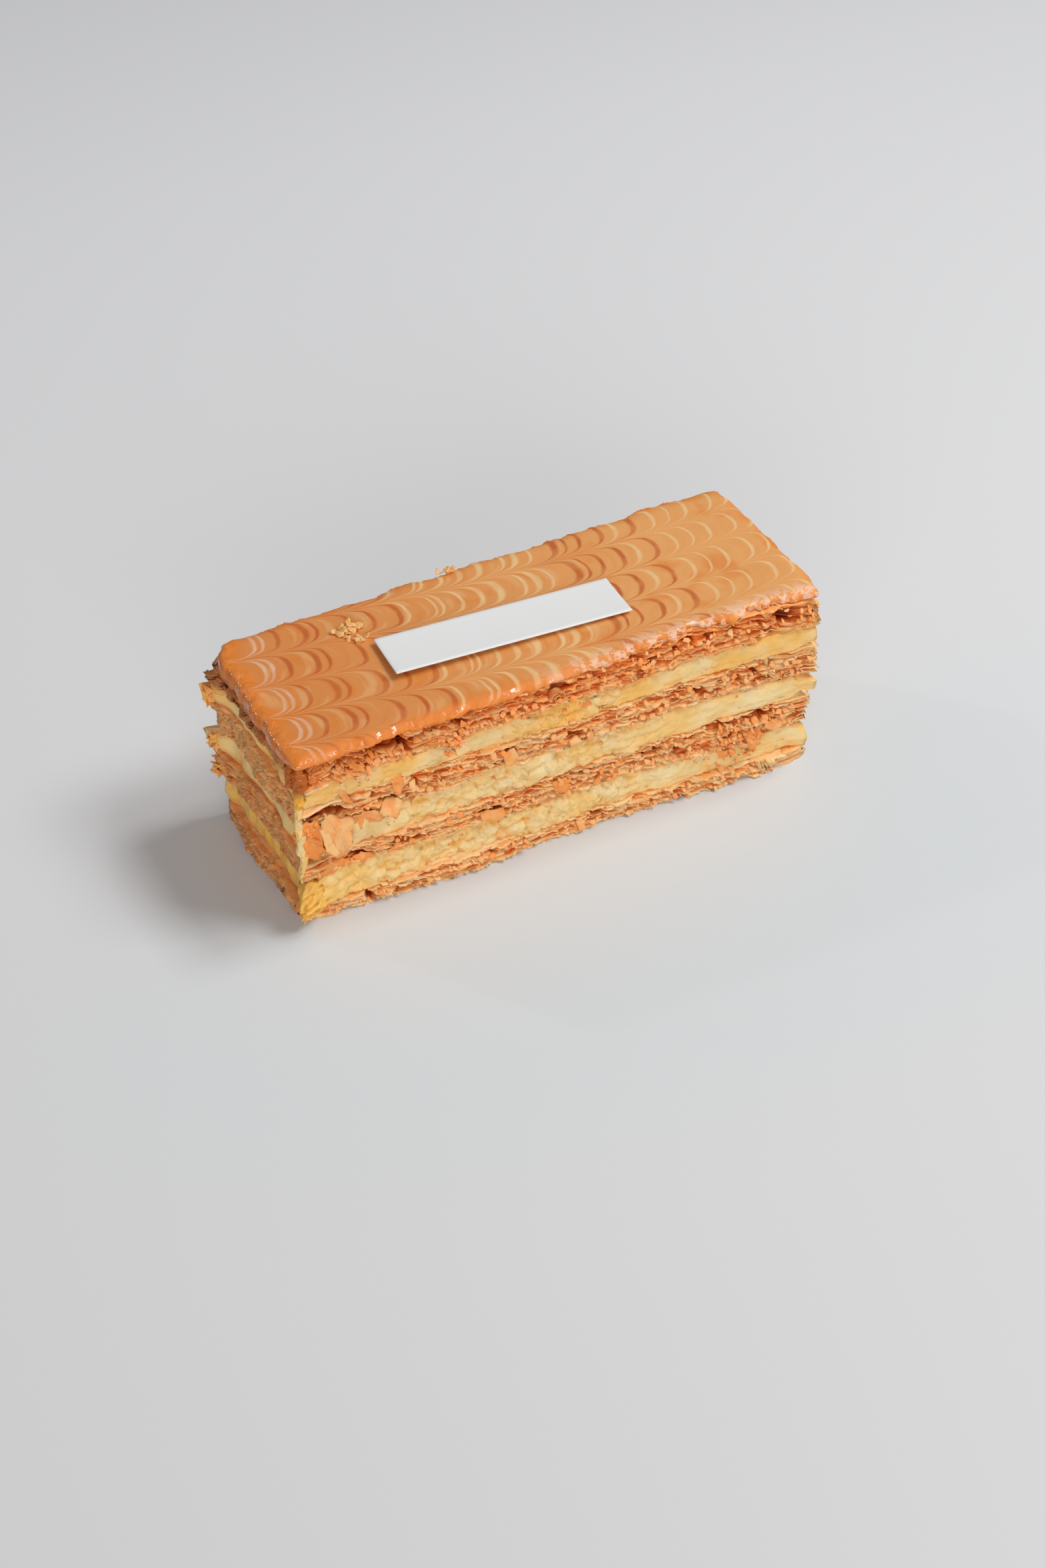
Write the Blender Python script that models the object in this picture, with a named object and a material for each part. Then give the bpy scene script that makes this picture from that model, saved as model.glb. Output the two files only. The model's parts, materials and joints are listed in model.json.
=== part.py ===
"""Mille feuille slice: four sheets of puff pastry, three layers of custard, a poured icing and a small card.

Lengths in the constants are millimetres, and the meshes are metres. +X runs along the slice, from its left end
to its right end, +Y from the front cut to the back cut, and +Z up. The origin is on the table under the middle.
"""

import math
import random

import bmesh
import bpy
from mathutils import Vector

MM = 0.001
CLEARANCE = 0.3

# Plan corners of the cut block, in order: front left, front right, back right, back left.
CORNERS = ((-60.0, -19.2), (60.5, -19.8), (60.5, 22.7), (-61.5, 20.4))
# Height of the icing above each of those corners: the block is pressed down at its front left.
CORNER_HEIGHTS = (43.2, 45.8, 46.5, 45.4)
SIDE_STATIONS = (52, 17, 52, 17)
INNER_STATIONS = (8, 3, 8, 3)
INSET = 6.0

# Height of each seam as a share of the block's height, where nothing disturbs it: the seams are the tops of
# pastry_1, custard_1, pastry_2, custard_2, pastry_3, custard_3, pastry_4 and the icing.
SEAM_SHARES = (0.0, 0.092, 0.243, 0.385, 0.545, 0.697, 0.805, 0.965, 1.0)
# The same seams along the front cut, from left to right at even spacing, in millimetres.
FRONT_SEAMS = {
    1: (2.4, 3.8, 4.5, 4.1, 4.5, 4.4, 3.9, 3.5, 2.7),
    2: (12.2, 12.2, 11.2, 11.0, 10.7, 10.8, 9.4, 8.7, 9.4),
    3: (16.2, 16.7, 17.3, 17.5, 18.0, 17.7, 18.0, 18.2, 17.2),
    4: (23.6, 23.6, 23.6, 24.5, 25.0, 24.3, 24.0, 23.5, 22.8),
    5: (30.0, 30.5, 31.0, 30.8, 31.2, 31.6, 31.4, 31.2, 31.0),
    6: (34.0, 35.2, 35.2, 36.5, 36.3, 35.7, 36.5, 36.2, 36.1),
    7: (41.2, 41.8, 41.8, 42.6, 43.0, 43.6, 44.2, 44.2, 43.0),
}
# The left end's middle, where the second custard is thin and the sheet under it thick.
LEFT_SEAMS = {1: 4.6, 2: 10.8, 3: 19.2, 4: 23.2, 5: 31.0, 6: 35.2, 7: 41.8}

PASTRY_LEVELS = (0.0, 0.2, 0.4, 0.6, 0.8, 1.0)
CUSTARD_LEVELS = (0.0, 0.3, 0.7, 1.0)
ICING_LEVELS = (0.0, 0.35, 0.8, 1.0)
ICING_PROFILE = (0.1, 0.7, 0.2, -1.1)

# How far each layer reaches past the block's corners, in the order of CORNERS. The knife dragged the layers
# out at the back left, where they end in tails.
CORNER_REACH = {
    "pastry_1": (-0.9, -0.7, 0.3, 0.0),
    "custard_1": (1.9, 1.6, 0.8, 1.2),
    "pastry_2": (1.0, 0.0, 0.4, 1.6),
    "custard_2": (0.9, 2.0, 0.6, 3.4),
    "pastry_3": (0.6, 0.6, 0.3, 0.4),
    "custard_3": (0.5, 0.8, 0.9, 3.0),
    "pastry_4": (0.0, 0.9, 0.4, 1.8),
    "icing": (-0.4, -0.2, -1.0, -1.9),
}
CORNER_SPREAD = 2.6
# Share of that reach at each level of a layer, from its foot up.
REACH_BY_LEVEL = {
    "custard_1": (0.9, 1.0, 0.6, 0.3),
    "custard_2": (0.3, 0.8, 1.0, 0.4),
    "custard_3": (0.5, 1.0, 0.9, 0.5),
    "pastry_4": (1.0, 0.5, 0.1, -0.3, -0.6, -0.8),
}

# Big flakes that hang from the front cut: sheet, place along x, foot, width, and how far the foot leans out.
FLAKES = (
    ("pastry_3", -53.0, 17.6, 7.5, 0.9),
    ("pastry_3", -41.5, 20.5, 5.5, 0.4),
    ("pastry_4", -48.0, 33.0, 6.5, 0.5),
    ("pastry_4", -27.0, 33.6, 6.0, 0.4),
    ("pastry_2", 42.5, 6.4, 9.0, 0.6),
    ("pastry_2", 33.0, 8.0, 5.5, 0.3),
)
FLAKE_THICKNESS = 0.7
FLAKE_ROOT = 3.2
FLAKE_STANDOFF = 0.35
FLAKE_LIFT = 0.6

CARD_LENGTH = 53.2
CARD_WIDTH = 12.5
CARD_THICKNESS = 0.4
CARD_CENTRE = (-5.6, -1.4)
CARD_TURN_DEG = -2.9
CARD_LEFT_LIFT = 0.9

PASTRY_COLOUR = (0.62, 0.33, 0.14)
CUSTARD_COLOUR = (0.87, 0.68, 0.30)
ICING_COLOUR = (0.72, 0.36, 0.12)
CARD_COLOUR = (0.85, 0.85, 0.84)


def clear_scene():
    for obj in list(bpy.data.objects):
        bpy.data.objects.remove(obj, do_unlink=True)


def finish_material(name, colour, roughness):
    material = bpy.data.materials.new(name)
    material.use_nodes = True
    shader = material.node_tree.nodes["Principled BSDF"]
    shader.inputs["Base Color"].default_value = (*colour, 1.0)
    shader.inputs["Roughness"].default_value = roughness
    shader.inputs["Metallic"].default_value = 0.0
    material.diffuse_color = (*colour, 1.0)
    return material


def smooth(t):
    return t * t * (3.0 - 2.0 * t)


def ripple(place, seed, waves, size):
    """A wandering offset along the outline, where place goes from 0 to 4 round the block."""
    draw = random.Random(seed)
    total = 0.0
    for wave in waves:
        total += math.sin(math.tau * (wave * place / 4.0 + draw.random())) * draw.uniform(0.5, 1.0)
    return size * total / len(waves)


def outline(counts, inset):
    """Points round the block as (place, x, y, outward x, outward y), with the corners mitred."""
    points = []
    normals = []
    for side in range(4):
        ax, ay = CORNERS[side]
        bx, by = CORNERS[(side + 1) % 4]
        normals.append(Vector((by - ay, ax - bx)).normalized())
    for side, count in enumerate(counts):
        start = Vector(CORNERS[side])
        end = Vector(CORNERS[(side + 1) % 4])
        start_mitre = (normals[side - 1] + normals[side]) / (1.0 + normals[side - 1].dot(normals[side]))
        after = normals[(side + 1) % 4]
        end_mitre = (normals[side] + after) / (1.0 + normals[side].dot(after))
        for step in range(count):
            t = step / count
            at = (start - start_mitre * inset).lerp(end - end_mitre * inset, t)
            out = start_mitre if step == 0 else normals[side]
            points.append((side + t, at.x, at.y, out.x, out.y))
    return points


def block_height(x, y):
    """Height of the icing over any point of the plan, from the four corner heights."""
    left = CORNERS[0][0]
    right = CORNERS[1][0]
    front = CORNERS[0][1]
    back = CORNERS[2][1]
    u = (x - left) / (right - left)
    v = (y - front) / (back - front)
    low_left, low_right, high_right, high_left = CORNER_HEIGHTS
    near = low_left + (low_right - low_left) * u
    far = high_left + (high_right - high_left) * u
    return near + (far - near) * v


def seam_at_edge(seam, place, x, y):
    """Height of a seam where it meets the cut: as shown on the front and the left end, even elsewhere."""
    plain = SEAM_SHARES[seam] * block_height(x, y)
    if seam not in FRONT_SEAMS:
        return plain
    front = FRONT_SEAMS[seam]
    if place <= 1.0:
        along = place * (len(front) - 1)
        index = min(int(along), len(front) - 2)
        t = smooth(along - index)
        return front[index] * (1.0 - t) + front[index + 1] * t
    wander = ripple(place, 10 + seam, (9, 14, 23), 0.6)
    if place <= 2.0:
        share = smooth(place - 1.0)
        return front[-1] * (1.0 - share) + (plain + wander) * share
    if place <= 3.0:
        return plain + wander
    half = (place - 3.0) * 2.0
    if half <= 1.0:
        share = smooth(half)
        return (plain + wander) * (1.0 - share) + LEFT_SEAMS[seam] * share
    share = smooth(half - 1.0)
    return LEFT_SEAMS[seam] * (1.0 - share) + front[0] * share


def corner_reach(layer, place, level):
    """Extra reach near the four corners, fading with the distance along the cut."""
    sides = ((0, 120.0), (1, 40.0), (2, 120.0), (3, 38.0))
    total = 0.0
    for corner, reach in enumerate(CORNER_REACH[layer]):
        gap = (place - corner + 2.0) % 4.0 - 2.0
        side_length = sides[corner if gap >= 0 else (corner + 3) % 4][1]
        total += reach * math.exp(-((gap * side_length / CORNER_SPREAD) ** 2))
    shares = REACH_BY_LEVEL.get(layer)
    return total * shares[level] if shares else total


def pastry_offset(number, layer, place, x, level, draw):
    """How far a pastry sheet's cut stands out at one level: leaves in and out in turn, torn unevenly."""
    leaf = 0.45 if level % 2 else -0.35
    leaf *= 1.0 + ripple(place, 40 + 7 * number + level, (21, 34, 55), 0.9)
    torn = ripple(place, 70 + 9 * number + level, (31, 47, 62), 0.7)
    bow = ripple(place, 100 + number, (3, 5, 8), 0.7)
    offset = bow + leaf + torn + draw.uniform(-0.25, 0.25)
    if number == 1 and place < 1.0:
        offset += 0.8 + 0.6 * math.cos(math.tau * (x + 27.0) / 62.0)
    if number == 1 and place > 3.0:
        offset += 0.9
    if number == 4 and place < 1.0 and x < -4.0:
        depth = 2.4 if x < -34.0 else 1.1
        offset -= depth * (level in (3, 4)) * smooth(min(1.0, (x + 59.0) / 4.0) if x > -59.0 else 0.0)
    return offset + corner_reach(layer, place, level)


def behind_flake(number, place, x):
    """Whether a flake of the sheet above hangs in front of this custard at x."""
    above = f"pastry_{number + 1}"
    return place < 1.0 and any(layer == above and abs(x - at) < width / 2 + 2.6 for layer, at, _, width, _ in FLAKES)


def custard_offset(number, layer, place, x, level, draw):
    """Custard is set back from the pastry a little, and swells and sinks slowly along the cut."""
    swell = (-0.5, -0.1, -0.1, -0.4)[level]
    slow = ripple(place, 130 + number, (6, 11, 17), 0.7)
    rough = ripple(place, 160 + 5 * number + level, (29, 41, 58), 0.4)
    offset = -0.5 + swell + slow + rough + draw.uniform(-0.12, 0.12)
    if behind_flake(number, place, x):
        offset = min(offset, -0.3)
    return offset + corner_reach(layer, place, level)


def icing_offset(layer, place, level, draw):
    """The icing spills a little over the edge with a rounded shoulder."""
    spill = ripple(place, 200, (13, 22, 37), 0.5)
    if 2.0 < place < 3.0:
        spill += ripple(place, 204, (24, 33), 0.8)
    return ICING_PROFILE[level] + spill + draw.uniform(-0.08, 0.08) + corner_reach(layer, place, level)


def ring_heights(seam, edge, offset, inner_x, inner_y):
    """Height of a seam for a point that stands out by offset: one sloping line from the inner ring outwards."""
    place, x, y, _, _ = edge
    at_edge = seam_at_edge(seam, place, x, y)
    inside = SEAM_SHARES[seam] * block_height(inner_x, inner_y)
    return at_edge + (at_edge - inside) * offset / INSET


def nearest_inner(inner, x, y):
    return min(range(len(inner)), key=lambda i: (inner[i][1] - x) ** 2 + (inner[i][2] - y) ** 2)


def cap_strip(bm, ring, owners, middle, up):
    """Triangles between an outer ring and the few points of the inner ring, then the middle."""
    faces = []
    count = len(ring)
    for i in range(count):
        j = (i + 1) % count
        faces.append((ring[i], ring[j], middle[owners[j]]))
        if owners[i] != owners[j]:
            faces.append((ring[i], middle[owners[j]], middle[owners[i]]))
    front, right, back, _ = INNER_STATIONS
    total = len(middle)
    corner_right = front + right
    for i in range(front):
        far = (corner_right + back - i) % total
        near_far = corner_right + back - i - 1
        if i == front - 1:
            fan = [*range(front, corner_right + 1)]
            for a, b in zip(fan, fan[1:]):
                faces.append((middle[i], middle[a], middle[b]))
            faces.append((middle[i], middle[near_far], middle[far]))
        elif i == 0:
            fan = [near_far, *range(corner_right + back, total), 0]
            for a, b in zip(fan, fan[1:]):
                faces.append((middle[1], middle[a], middle[b]))
        else:
            faces.append((middle[i], middle[i + 1], middle[near_far]))
            faces.append((middle[i], middle[near_far], middle[far]))
    for face in faces:
        bm.faces.new(face if up else face[::-1])


def build_layer(layer, bottom_seam, levels, offset_rule, material):
    """One layer between two seams, as a closed mesh: its cut wall, and a cap above and below."""
    edges = outline(SIDE_STATIONS, 0.0)
    inner = outline(INNER_STATIONS, INSET)
    owners = [nearest_inner(inner, edge[1] - edge[3] * INSET, edge[2] - edge[4] * INSET) for edge in edges]
    draw = random.Random(layer)
    offsets = [[offset_rule(edge, level, draw) for edge in edges] for level in range(len(levels))]
    bm = bmesh.new()
    rings = [[] for _ in levels]
    for index, edge in enumerate(edges):
        _, x, y, out_x, out_y = edge
        _, inner_x, inner_y, _, _ = inner[owners[index]]
        low = ring_heights(bottom_seam, edge, offsets[0][index], inner_x, inner_y)
        high = ring_heights(bottom_seam + 1, edge, offsets[-1][index], inner_x, inner_y)
        low += CLEARANCE / 2 if bottom_seam else 0.0
        high -= CLEARANCE / 2 if bottom_seam + 2 < len(SEAM_SHARES) else 0.0
        for level, share in enumerate(levels):
            reach = offsets[level][index]
            at = Vector((x + out_x * reach, y + out_y * reach, low + (high - low) * share))
            rings[level].append(bm.verts.new(at * MM))
    for lower, upper in zip(rings, rings[1:]):
        for i in range(len(edges)):
            j = (i + 1) % len(edges)
            bm.faces.new((lower[i], lower[j], upper[j]))
            bm.faces.new((lower[i], upper[j], upper[i]))
    for seam, ring, up in ((bottom_seam, rings[0], False), (bottom_seam + 1, rings[-1], True)):
        free = seam in (0, len(SEAM_SHARES) - 1)
        shift = 0.0 if free else (-CLEARANCE / 2 if up else CLEARANCE / 2)
        middle = []
        for _, x, y, _, _ in inner:
            height = SEAM_SHARES[seam] * block_height(x, y) + shift
            middle.append(bm.verts.new(Vector((x, y, height)) * MM))
        cap_strip(bm, ring, owners, middle, up)
    mesh = bpy.data.meshes.new(layer)
    bm.to_mesh(mesh)
    bm.free()
    obj = bpy.data.objects.new(layer, mesh)
    obj.data.materials.append(material)
    bpy.context.scene.collection.objects.link(obj)
    return obj


def front_line(x):
    """The y of the front cut at x."""
    (left, near), (right, far) = CORNERS[0], CORNERS[1]
    return near + (far - near) * (x - left) / (right - left)


def flake_object(index, seam, x, foot, width, lean):
    """A bent scrap of leaf, rooted in its sheet and hanging in front of the custard below."""
    place = (x - CORNERS[0][0]) / (CORNERS[1][0] - CORNERS[0][0])
    edge = (place, x, front_line(x), 0.0, -1.0)
    deep = ring_heights(seam, edge, -FLAKE_ROOT, x, front_line(x) + INSET) + FLAKE_LIFT
    root = ring_heights(seam, edge, 0.0, x, front_line(x) + INSET) + FLAKE_LIFT
    middle = (root + foot) / 2
    thick = FLAKE_THICKNESS
    # How far out, the height and the share of the width, for the flake's back and then for its face.
    back = ((-FLAKE_ROOT, deep, 0.8), (FLAKE_STANDOFF, root, 0.95), (FLAKE_STANDOFF, middle, 1.0))
    back += ((FLAKE_STANDOFF + lean * 0.7, foot, 0.5),)
    face = ((-FLAKE_ROOT, deep + thick, 0.8), (0.95, root + thick, 0.95), (1.05, middle, 1.0))
    face += ((1.0 + lean, foot + 0.2, 0.5),)
    columns = 4
    bm = bmesh.new()
    grids = []
    for profile in (back, face):
        grid = []
        for row, (out, z, share) in enumerate(profile):
            line = []
            for column in range(columns):
                across = (column / (columns - 1) - 0.5) * width * share
                uneven = 0.45 * math.sin(2.4 * column + 1.7 * row + index) if row > 1 else 0.0
                ragged = 0.7 * math.sin(2.9 * column + 2.0 * index) if row == 3 else 0.0
                y = front_line(x + across) - out
                line.append(bm.verts.new(Vector((x + across + uneven, y, z + ragged)) * MM))
            grid.append(line)
        grids.append(grid)
    inner, outer = grids
    rows = len(back)
    for r in range(rows - 1):
        for c in range(columns - 1):
            bm.faces.new((inner[r][c], inner[r + 1][c], inner[r + 1][c + 1], inner[r][c + 1]))
            bm.faces.new((outer[r][c], outer[r][c + 1], outer[r + 1][c + 1], outer[r + 1][c]))
    rim = [(0, c) for c in range(columns)]
    rim += [(r, columns - 1) for r in range(1, rows)]
    rim += [(rows - 1, c) for c in range(columns - 2, -1, -1)]
    rim += [(r, 0) for r in range(rows - 2, 0, -1)]
    for (r1, c1), (r2, c2) in zip(rim, rim[1:] + rim[:1]):
        bm.faces.new((inner[r1][c1], inner[r2][c2], outer[r2][c2], outer[r1][c1]))
    bmesh.ops.triangulate(bm, faces=bm.faces)
    bmesh.ops.recalc_face_normals(bm, faces=bm.faces)
    mesh = bpy.data.meshes.new(f"flake_{index}")
    bm.to_mesh(mesh)
    bm.free()
    return bpy.data.objects.new(f"flake_{index}", mesh)


def fuse_flakes(sheet, number):
    """Joins this sheet's flakes to it with one union."""
    scraps = bpy.data.collections.new(f"scraps_{number}")
    bpy.context.scene.collection.children.link(scraps)
    for index, (layer, x, foot, width, lean) in enumerate(FLAKES):
        if layer == sheet.name:
            scraps.objects.link(flake_object(index, 2 * (number - 1), x, foot, width, lean))
    if scraps.objects:
        union = sheet.modifiers.new("flakes", "BOOLEAN")
        union.operation = "UNION"
        union.operand_type = "COLLECTION"
        union.collection = scraps
        union.solver = "EXACT"
        bpy.context.view_layer.update()
        whole = sheet.evaluated_get(bpy.context.evaluated_depsgraph_get())
        fused = bpy.data.meshes.new_from_object(whole)
        sheet.modifiers.clear()
        sheet.data = fused
        for obj in list(scraps.objects):
            bpy.data.objects.remove(obj, do_unlink=True)
    bpy.data.collections.remove(scraps)


def build_pastry(number):
    layer = f"pastry_{number}"
    material = finish_material(layer, PASTRY_COLOUR, 0.75)

    def rule(edge, level, draw):
        return pastry_offset(number, layer, edge[0], edge[1], level, draw)

    sheet = build_layer(layer, 2 * (number - 1), PASTRY_LEVELS, rule, material)
    fuse_flakes(sheet, number)
    return sheet


def build_custard(number):
    layer = f"custard_{number}"
    material = finish_material(layer, CUSTARD_COLOUR, 0.45)

    def rule(edge, level, draw):
        return custard_offset(number, layer, edge[0], edge[1], level, draw)

    return build_layer(layer, 2 * number - 1, CUSTARD_LEVELS, rule, material)


def build_icing():
    material = finish_material("icing", ICING_COLOUR, 0.2)

    def rule(edge, level, draw):
        return icing_offset("icing", edge[0], level, draw)

    icing = build_layer("icing", len(SEAM_SHARES) - 2, ICING_LEVELS, rule, material)
    icing.data.shade_smooth()
    return icing


def build_card():
    """A stiff card that lies on the icing, with its left end a little off it."""
    cx, cy = CARD_CENTRE
    half_x = CARD_LENGTH / 2
    half_y = CARD_WIDTH / 2
    turn = math.radians(CARD_TURN_DEG)
    bm = bmesh.new()
    rings = []
    for rise in (0.0, CARD_THICKNESS):
        ring = []
        for sx, sy in ((-1, -1), (1, -1), (1, 1), (-1, 1)):
            dx = sx * half_x
            dy = sy * half_y
            x = cx + dx * math.cos(turn) - dy * math.sin(turn)
            y = cy + dx * math.sin(turn) + dy * math.cos(turn)
            lift = CARD_LEFT_LIFT * (1 - sx) / 2
            z = block_height(cx + dx, cy) + (block_height(cx, cy + dy) - block_height(cx, cy))
            ring.append(bm.verts.new(Vector((x, y, z + CLEARANCE + lift + rise)) * MM))
        rings.append(ring)
    low, high = rings
    bm.faces.new(low[::-1])
    bm.faces.new(high)
    for i in range(4):
        j = (i + 1) % 4
        bm.faces.new((low[i], low[j], high[j], high[i]))
    mesh = bpy.data.meshes.new("card")
    bm.to_mesh(mesh)
    bm.free()
    card = bpy.data.objects.new("card", mesh)
    card.data.materials.append(finish_material("card", CARD_COLOUR, 0.6))
    bpy.context.scene.collection.objects.link(card)
    return card


def main():
    clear_scene()
    for number in (1, 2, 3, 4):
        build_pastry(number)
    for number in (1, 2, 3):
        build_custard(number)
    build_icing()
    build_card()


main()
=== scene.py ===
"""The looks of a mille feuille slice: flaky pastry sheets, torn custard, feathered icing and a blank card.

Sizes are metres. +X runs along the slice, -Y is the front cut, and the slice stands on z = 0.
"""

import json
import math
import random

import bmesh
import bpy
from bpy.props import FloatProperty, FloatVectorProperty, IntProperty, PointerProperty
from mathutils import Matrix, Vector
from mathutils.bvhtree import BVHTree
from mathutils.noise import noise as noise_at

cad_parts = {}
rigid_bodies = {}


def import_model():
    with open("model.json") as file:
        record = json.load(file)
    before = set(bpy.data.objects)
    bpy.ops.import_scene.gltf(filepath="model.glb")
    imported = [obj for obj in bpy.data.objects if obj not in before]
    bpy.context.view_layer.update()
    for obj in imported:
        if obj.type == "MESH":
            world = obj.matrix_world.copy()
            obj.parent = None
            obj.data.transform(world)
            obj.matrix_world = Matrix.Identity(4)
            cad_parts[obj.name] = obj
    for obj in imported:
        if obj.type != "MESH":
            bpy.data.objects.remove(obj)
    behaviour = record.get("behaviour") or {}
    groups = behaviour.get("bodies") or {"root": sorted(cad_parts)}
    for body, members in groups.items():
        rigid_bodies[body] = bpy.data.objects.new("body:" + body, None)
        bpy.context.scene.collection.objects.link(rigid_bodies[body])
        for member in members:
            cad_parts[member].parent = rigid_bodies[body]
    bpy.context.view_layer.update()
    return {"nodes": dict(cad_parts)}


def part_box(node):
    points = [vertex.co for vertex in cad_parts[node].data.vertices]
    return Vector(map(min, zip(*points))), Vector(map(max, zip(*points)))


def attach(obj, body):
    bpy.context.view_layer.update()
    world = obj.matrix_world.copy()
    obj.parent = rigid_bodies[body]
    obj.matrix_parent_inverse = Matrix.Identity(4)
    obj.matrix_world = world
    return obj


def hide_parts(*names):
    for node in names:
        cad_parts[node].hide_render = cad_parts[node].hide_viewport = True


bl_info = {
    "name": "Mille Feuille Slice",
    "version": (1, 0, 0),
    "blender": (4, 5, 0),
    "location": "View3D > Sidebar > Mille Feuille",
    "description": "Builds the flaky sheets, custard, icing and card of a mille feuille slice",
    "category": "Mesh",
}

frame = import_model()
MM = 0.001
SHEETS = ("pastry_1", "pastry_2", "pastry_3", "pastry_4")
CUSTARDS = ("custard_1", "custard_2", "custard_3")

# The bands that dress the layers are rooted on a rounded path inside the cut, and reach out from it.
ROOT_INSET = 7.5 * MM
ROOT_RADIUS = 2.5 * MM
STATION = 0.33 * MM
CORNER_STATIONS = 26
FAR_OUT = 20 * MM
PROBE = 4.5 * MM
INNER_PROBE = 1.0 * MM


# Small helpers for node trees.


class Wire:
    """A node's output, which can be reckoned with like a number."""

    def __init__(self, source):
        self.source = source

    def __abs__(self):
        return calc("ABSOLUTE", self)


OPERATORS = {"add": "ADD", "sub": "SUBTRACT", "mul": "MULTIPLY", "truediv": "DIVIDE", "pow": "POWER"}
for operator, operation in OPERATORS.items():
    setattr(Wire, f"__{operator}__", lambda one, other, kind=operation: calc(kind, one, other))
    setattr(Wire, f"__r{operator}__", lambda one, other, kind=operation: calc(kind, other, one))


def tree_of(*values):
    return next(one.source.id_data for one in values if isinstance(one, Wire))


def socket(sockets, key):
    shown = [one for one in sockets if one.enabled]
    if isinstance(key, int):
        return shown[key]
    return next(one for one in shown if one.name == key)


def out(node, key=0):
    return Wire(socket(node.outputs, key))


def feed(node, key, value):
    """Links a wire to an input, or sets the input's own value."""
    target = socket(node.inputs, key)
    if isinstance(value, Wire):
        node.id_data.links.new(value.source, target)
    elif target.type == "RGBA":
        target.default_value = (*value[:3], 1.0)
    else:
        target.default_value = value


def add(tree, kind, *values, named=None, **settings):
    """Adds a node, sets its options, and gives or links its inputs, first by order and then by name."""
    made = tree.nodes.new(kind)
    for name, value in settings.items():
        setattr(made, name, value)
    for key, value in [*enumerate(values), *(named or {}).items()]:
        feed(made, key, value)
    return made


def calc(operation, *values, clamp=False):
    return out(add(tree_of(*values), "ShaderNodeMath", *values, operation=operation, use_clamp=clamp))


def vector(operation, *values):
    return out(add(tree_of(*values), "ShaderNodeVectorMath", *values, operation=operation))


def moved_by(at, direction, distance):
    return vector("ADD", at, vector("SCALE", direction, distance))


def combine(x, y, z):
    return out(add(tree_of(x, y, z), "ShaderNodeCombineXYZ", x, y, z))


def separate(value):
    made = add(tree_of(value), "ShaderNodeSeparateXYZ", value)
    return [out(made, index) for index in range(3)]


def remap(value, low, high, to_low=0.0, to_high=1.0, smooth=False):
    """Value from low..high carried to to_low..to_high, and held at the ends."""
    kind = "SMOOTHSTEP" if smooth else "LINEAR"
    values = (value, low, high, to_low, to_high)
    return out(add(tree_of(value), "ShaderNodeMapRange", *values, interpolation_type=kind))


def noise(at, scale, detail=2.0, roughness=0.5, key=0):
    named = {"Vector": at, "Scale": scale, "Detail": detail, "Roughness": roughness}
    return out(add(tree_of(at), "ShaderNodeTexNoise", named=named), key)


def cells(at, scale):
    """The distance to the nearest cell's middle, and a random colour for each cell."""
    made = add(tree_of(at), "ShaderNodeTexVoronoi", named={"Vector": at, "Scale": scale})
    return out(made, "Distance"), separate(out(made, "Color"))


def blend(share, first, second, mode="MIX"):
    """Mix of two colours."""
    named = {"Factor": share, "A": first, "B": second}
    return out(add(tree_of(share, first), "ShaderNodeMix", named=named, data_type="RGBA", blend_type=mode))


def attribute(tree, name, key="Fac"):
    return out(add(tree, "ShaderNodeAttribute", attribute_name=name), key)


def geometry_tree(name, **inputs):
    """A Geometry Nodes tree with a mesh in and out, and named inputs, each with its default or its kind."""
    tree = bpy.data.node_groups.new(name, "GeometryNodeTree")
    tree.interface.new_socket("Geometry", in_out="INPUT", socket_type="NodeSocketGeometry")
    tree.interface.new_socket("Geometry", in_out="OUTPUT", socket_type="NodeSocketGeometry")
    for label, default in (*inputs.items(), ("Material", "Material")):
        kind = default if isinstance(default, str) else type(default).__name__.capitalize()
        label = label.replace("_", " ")
        made = tree.interface.new_socket(label, in_out="INPUT", socket_type="NodeSocket" + kind)
        if kind != default:
            made.default_value = default
    given = tree.nodes.new("NodeGroupInput")
    return tree, {one.name: Wire(one) for one in given.outputs if one.name}


def end_tree(tree, geometry, given):
    """Ends a tree in plain realized mesh with its material."""
    real = out(add(tree, "GeometryNodeRealizeInstances", geometry))
    painted = out(add(tree, "GeometryNodeSetMaterial", real, named={"Material": given["Material"]}))
    add(tree, "NodeGroupOutput", painted)
    return tree


def run_tree(obj, tree, values):
    """Runs a tree on an object and returns the plain mesh that it makes."""
    modifier = obj.modifiers.new(tree.name, "NODES")
    modifier.node_group = tree
    for item in tree.interface.items_tree:
        if item.in_out == "INPUT" and item.name in values:
            modifier[item.identifier] = values[item.name]
    bpy.context.view_layer.update()
    evaluated = obj.evaluated_get(bpy.context.evaluated_depsgraph_get())
    mesh = bpy.data.meshes.new_from_object(evaluated)
    obj.modifiers.remove(modifier)
    return mesh


def named(tree, name, kind="FLOAT"):
    return out(add(tree, "GeometryNodeInputNamedAttribute", name, data_type=kind), "Attribute")


def position(tree):
    return out(add(tree, "GeometryNodeInputPosition"))


def band_reads(tree):
    """What a band's points know: their position, level, reach and outward direction."""
    return position(tree), named(tree, "level"), named(tree, "reach"), named(tree, "outward", "FLOAT_VECTOR")


def layer_shape(tree, given):
    """The shape of the layer that a tree is given."""
    return out(add(tree, "GeometryNodeObjectInfo", given["Layer"]), "Geometry")


def link_object(name, mesh):
    obj = bpy.data.objects.new(name, mesh)
    bpy.context.scene.collection.objects.link(obj)
    return obj


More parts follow.
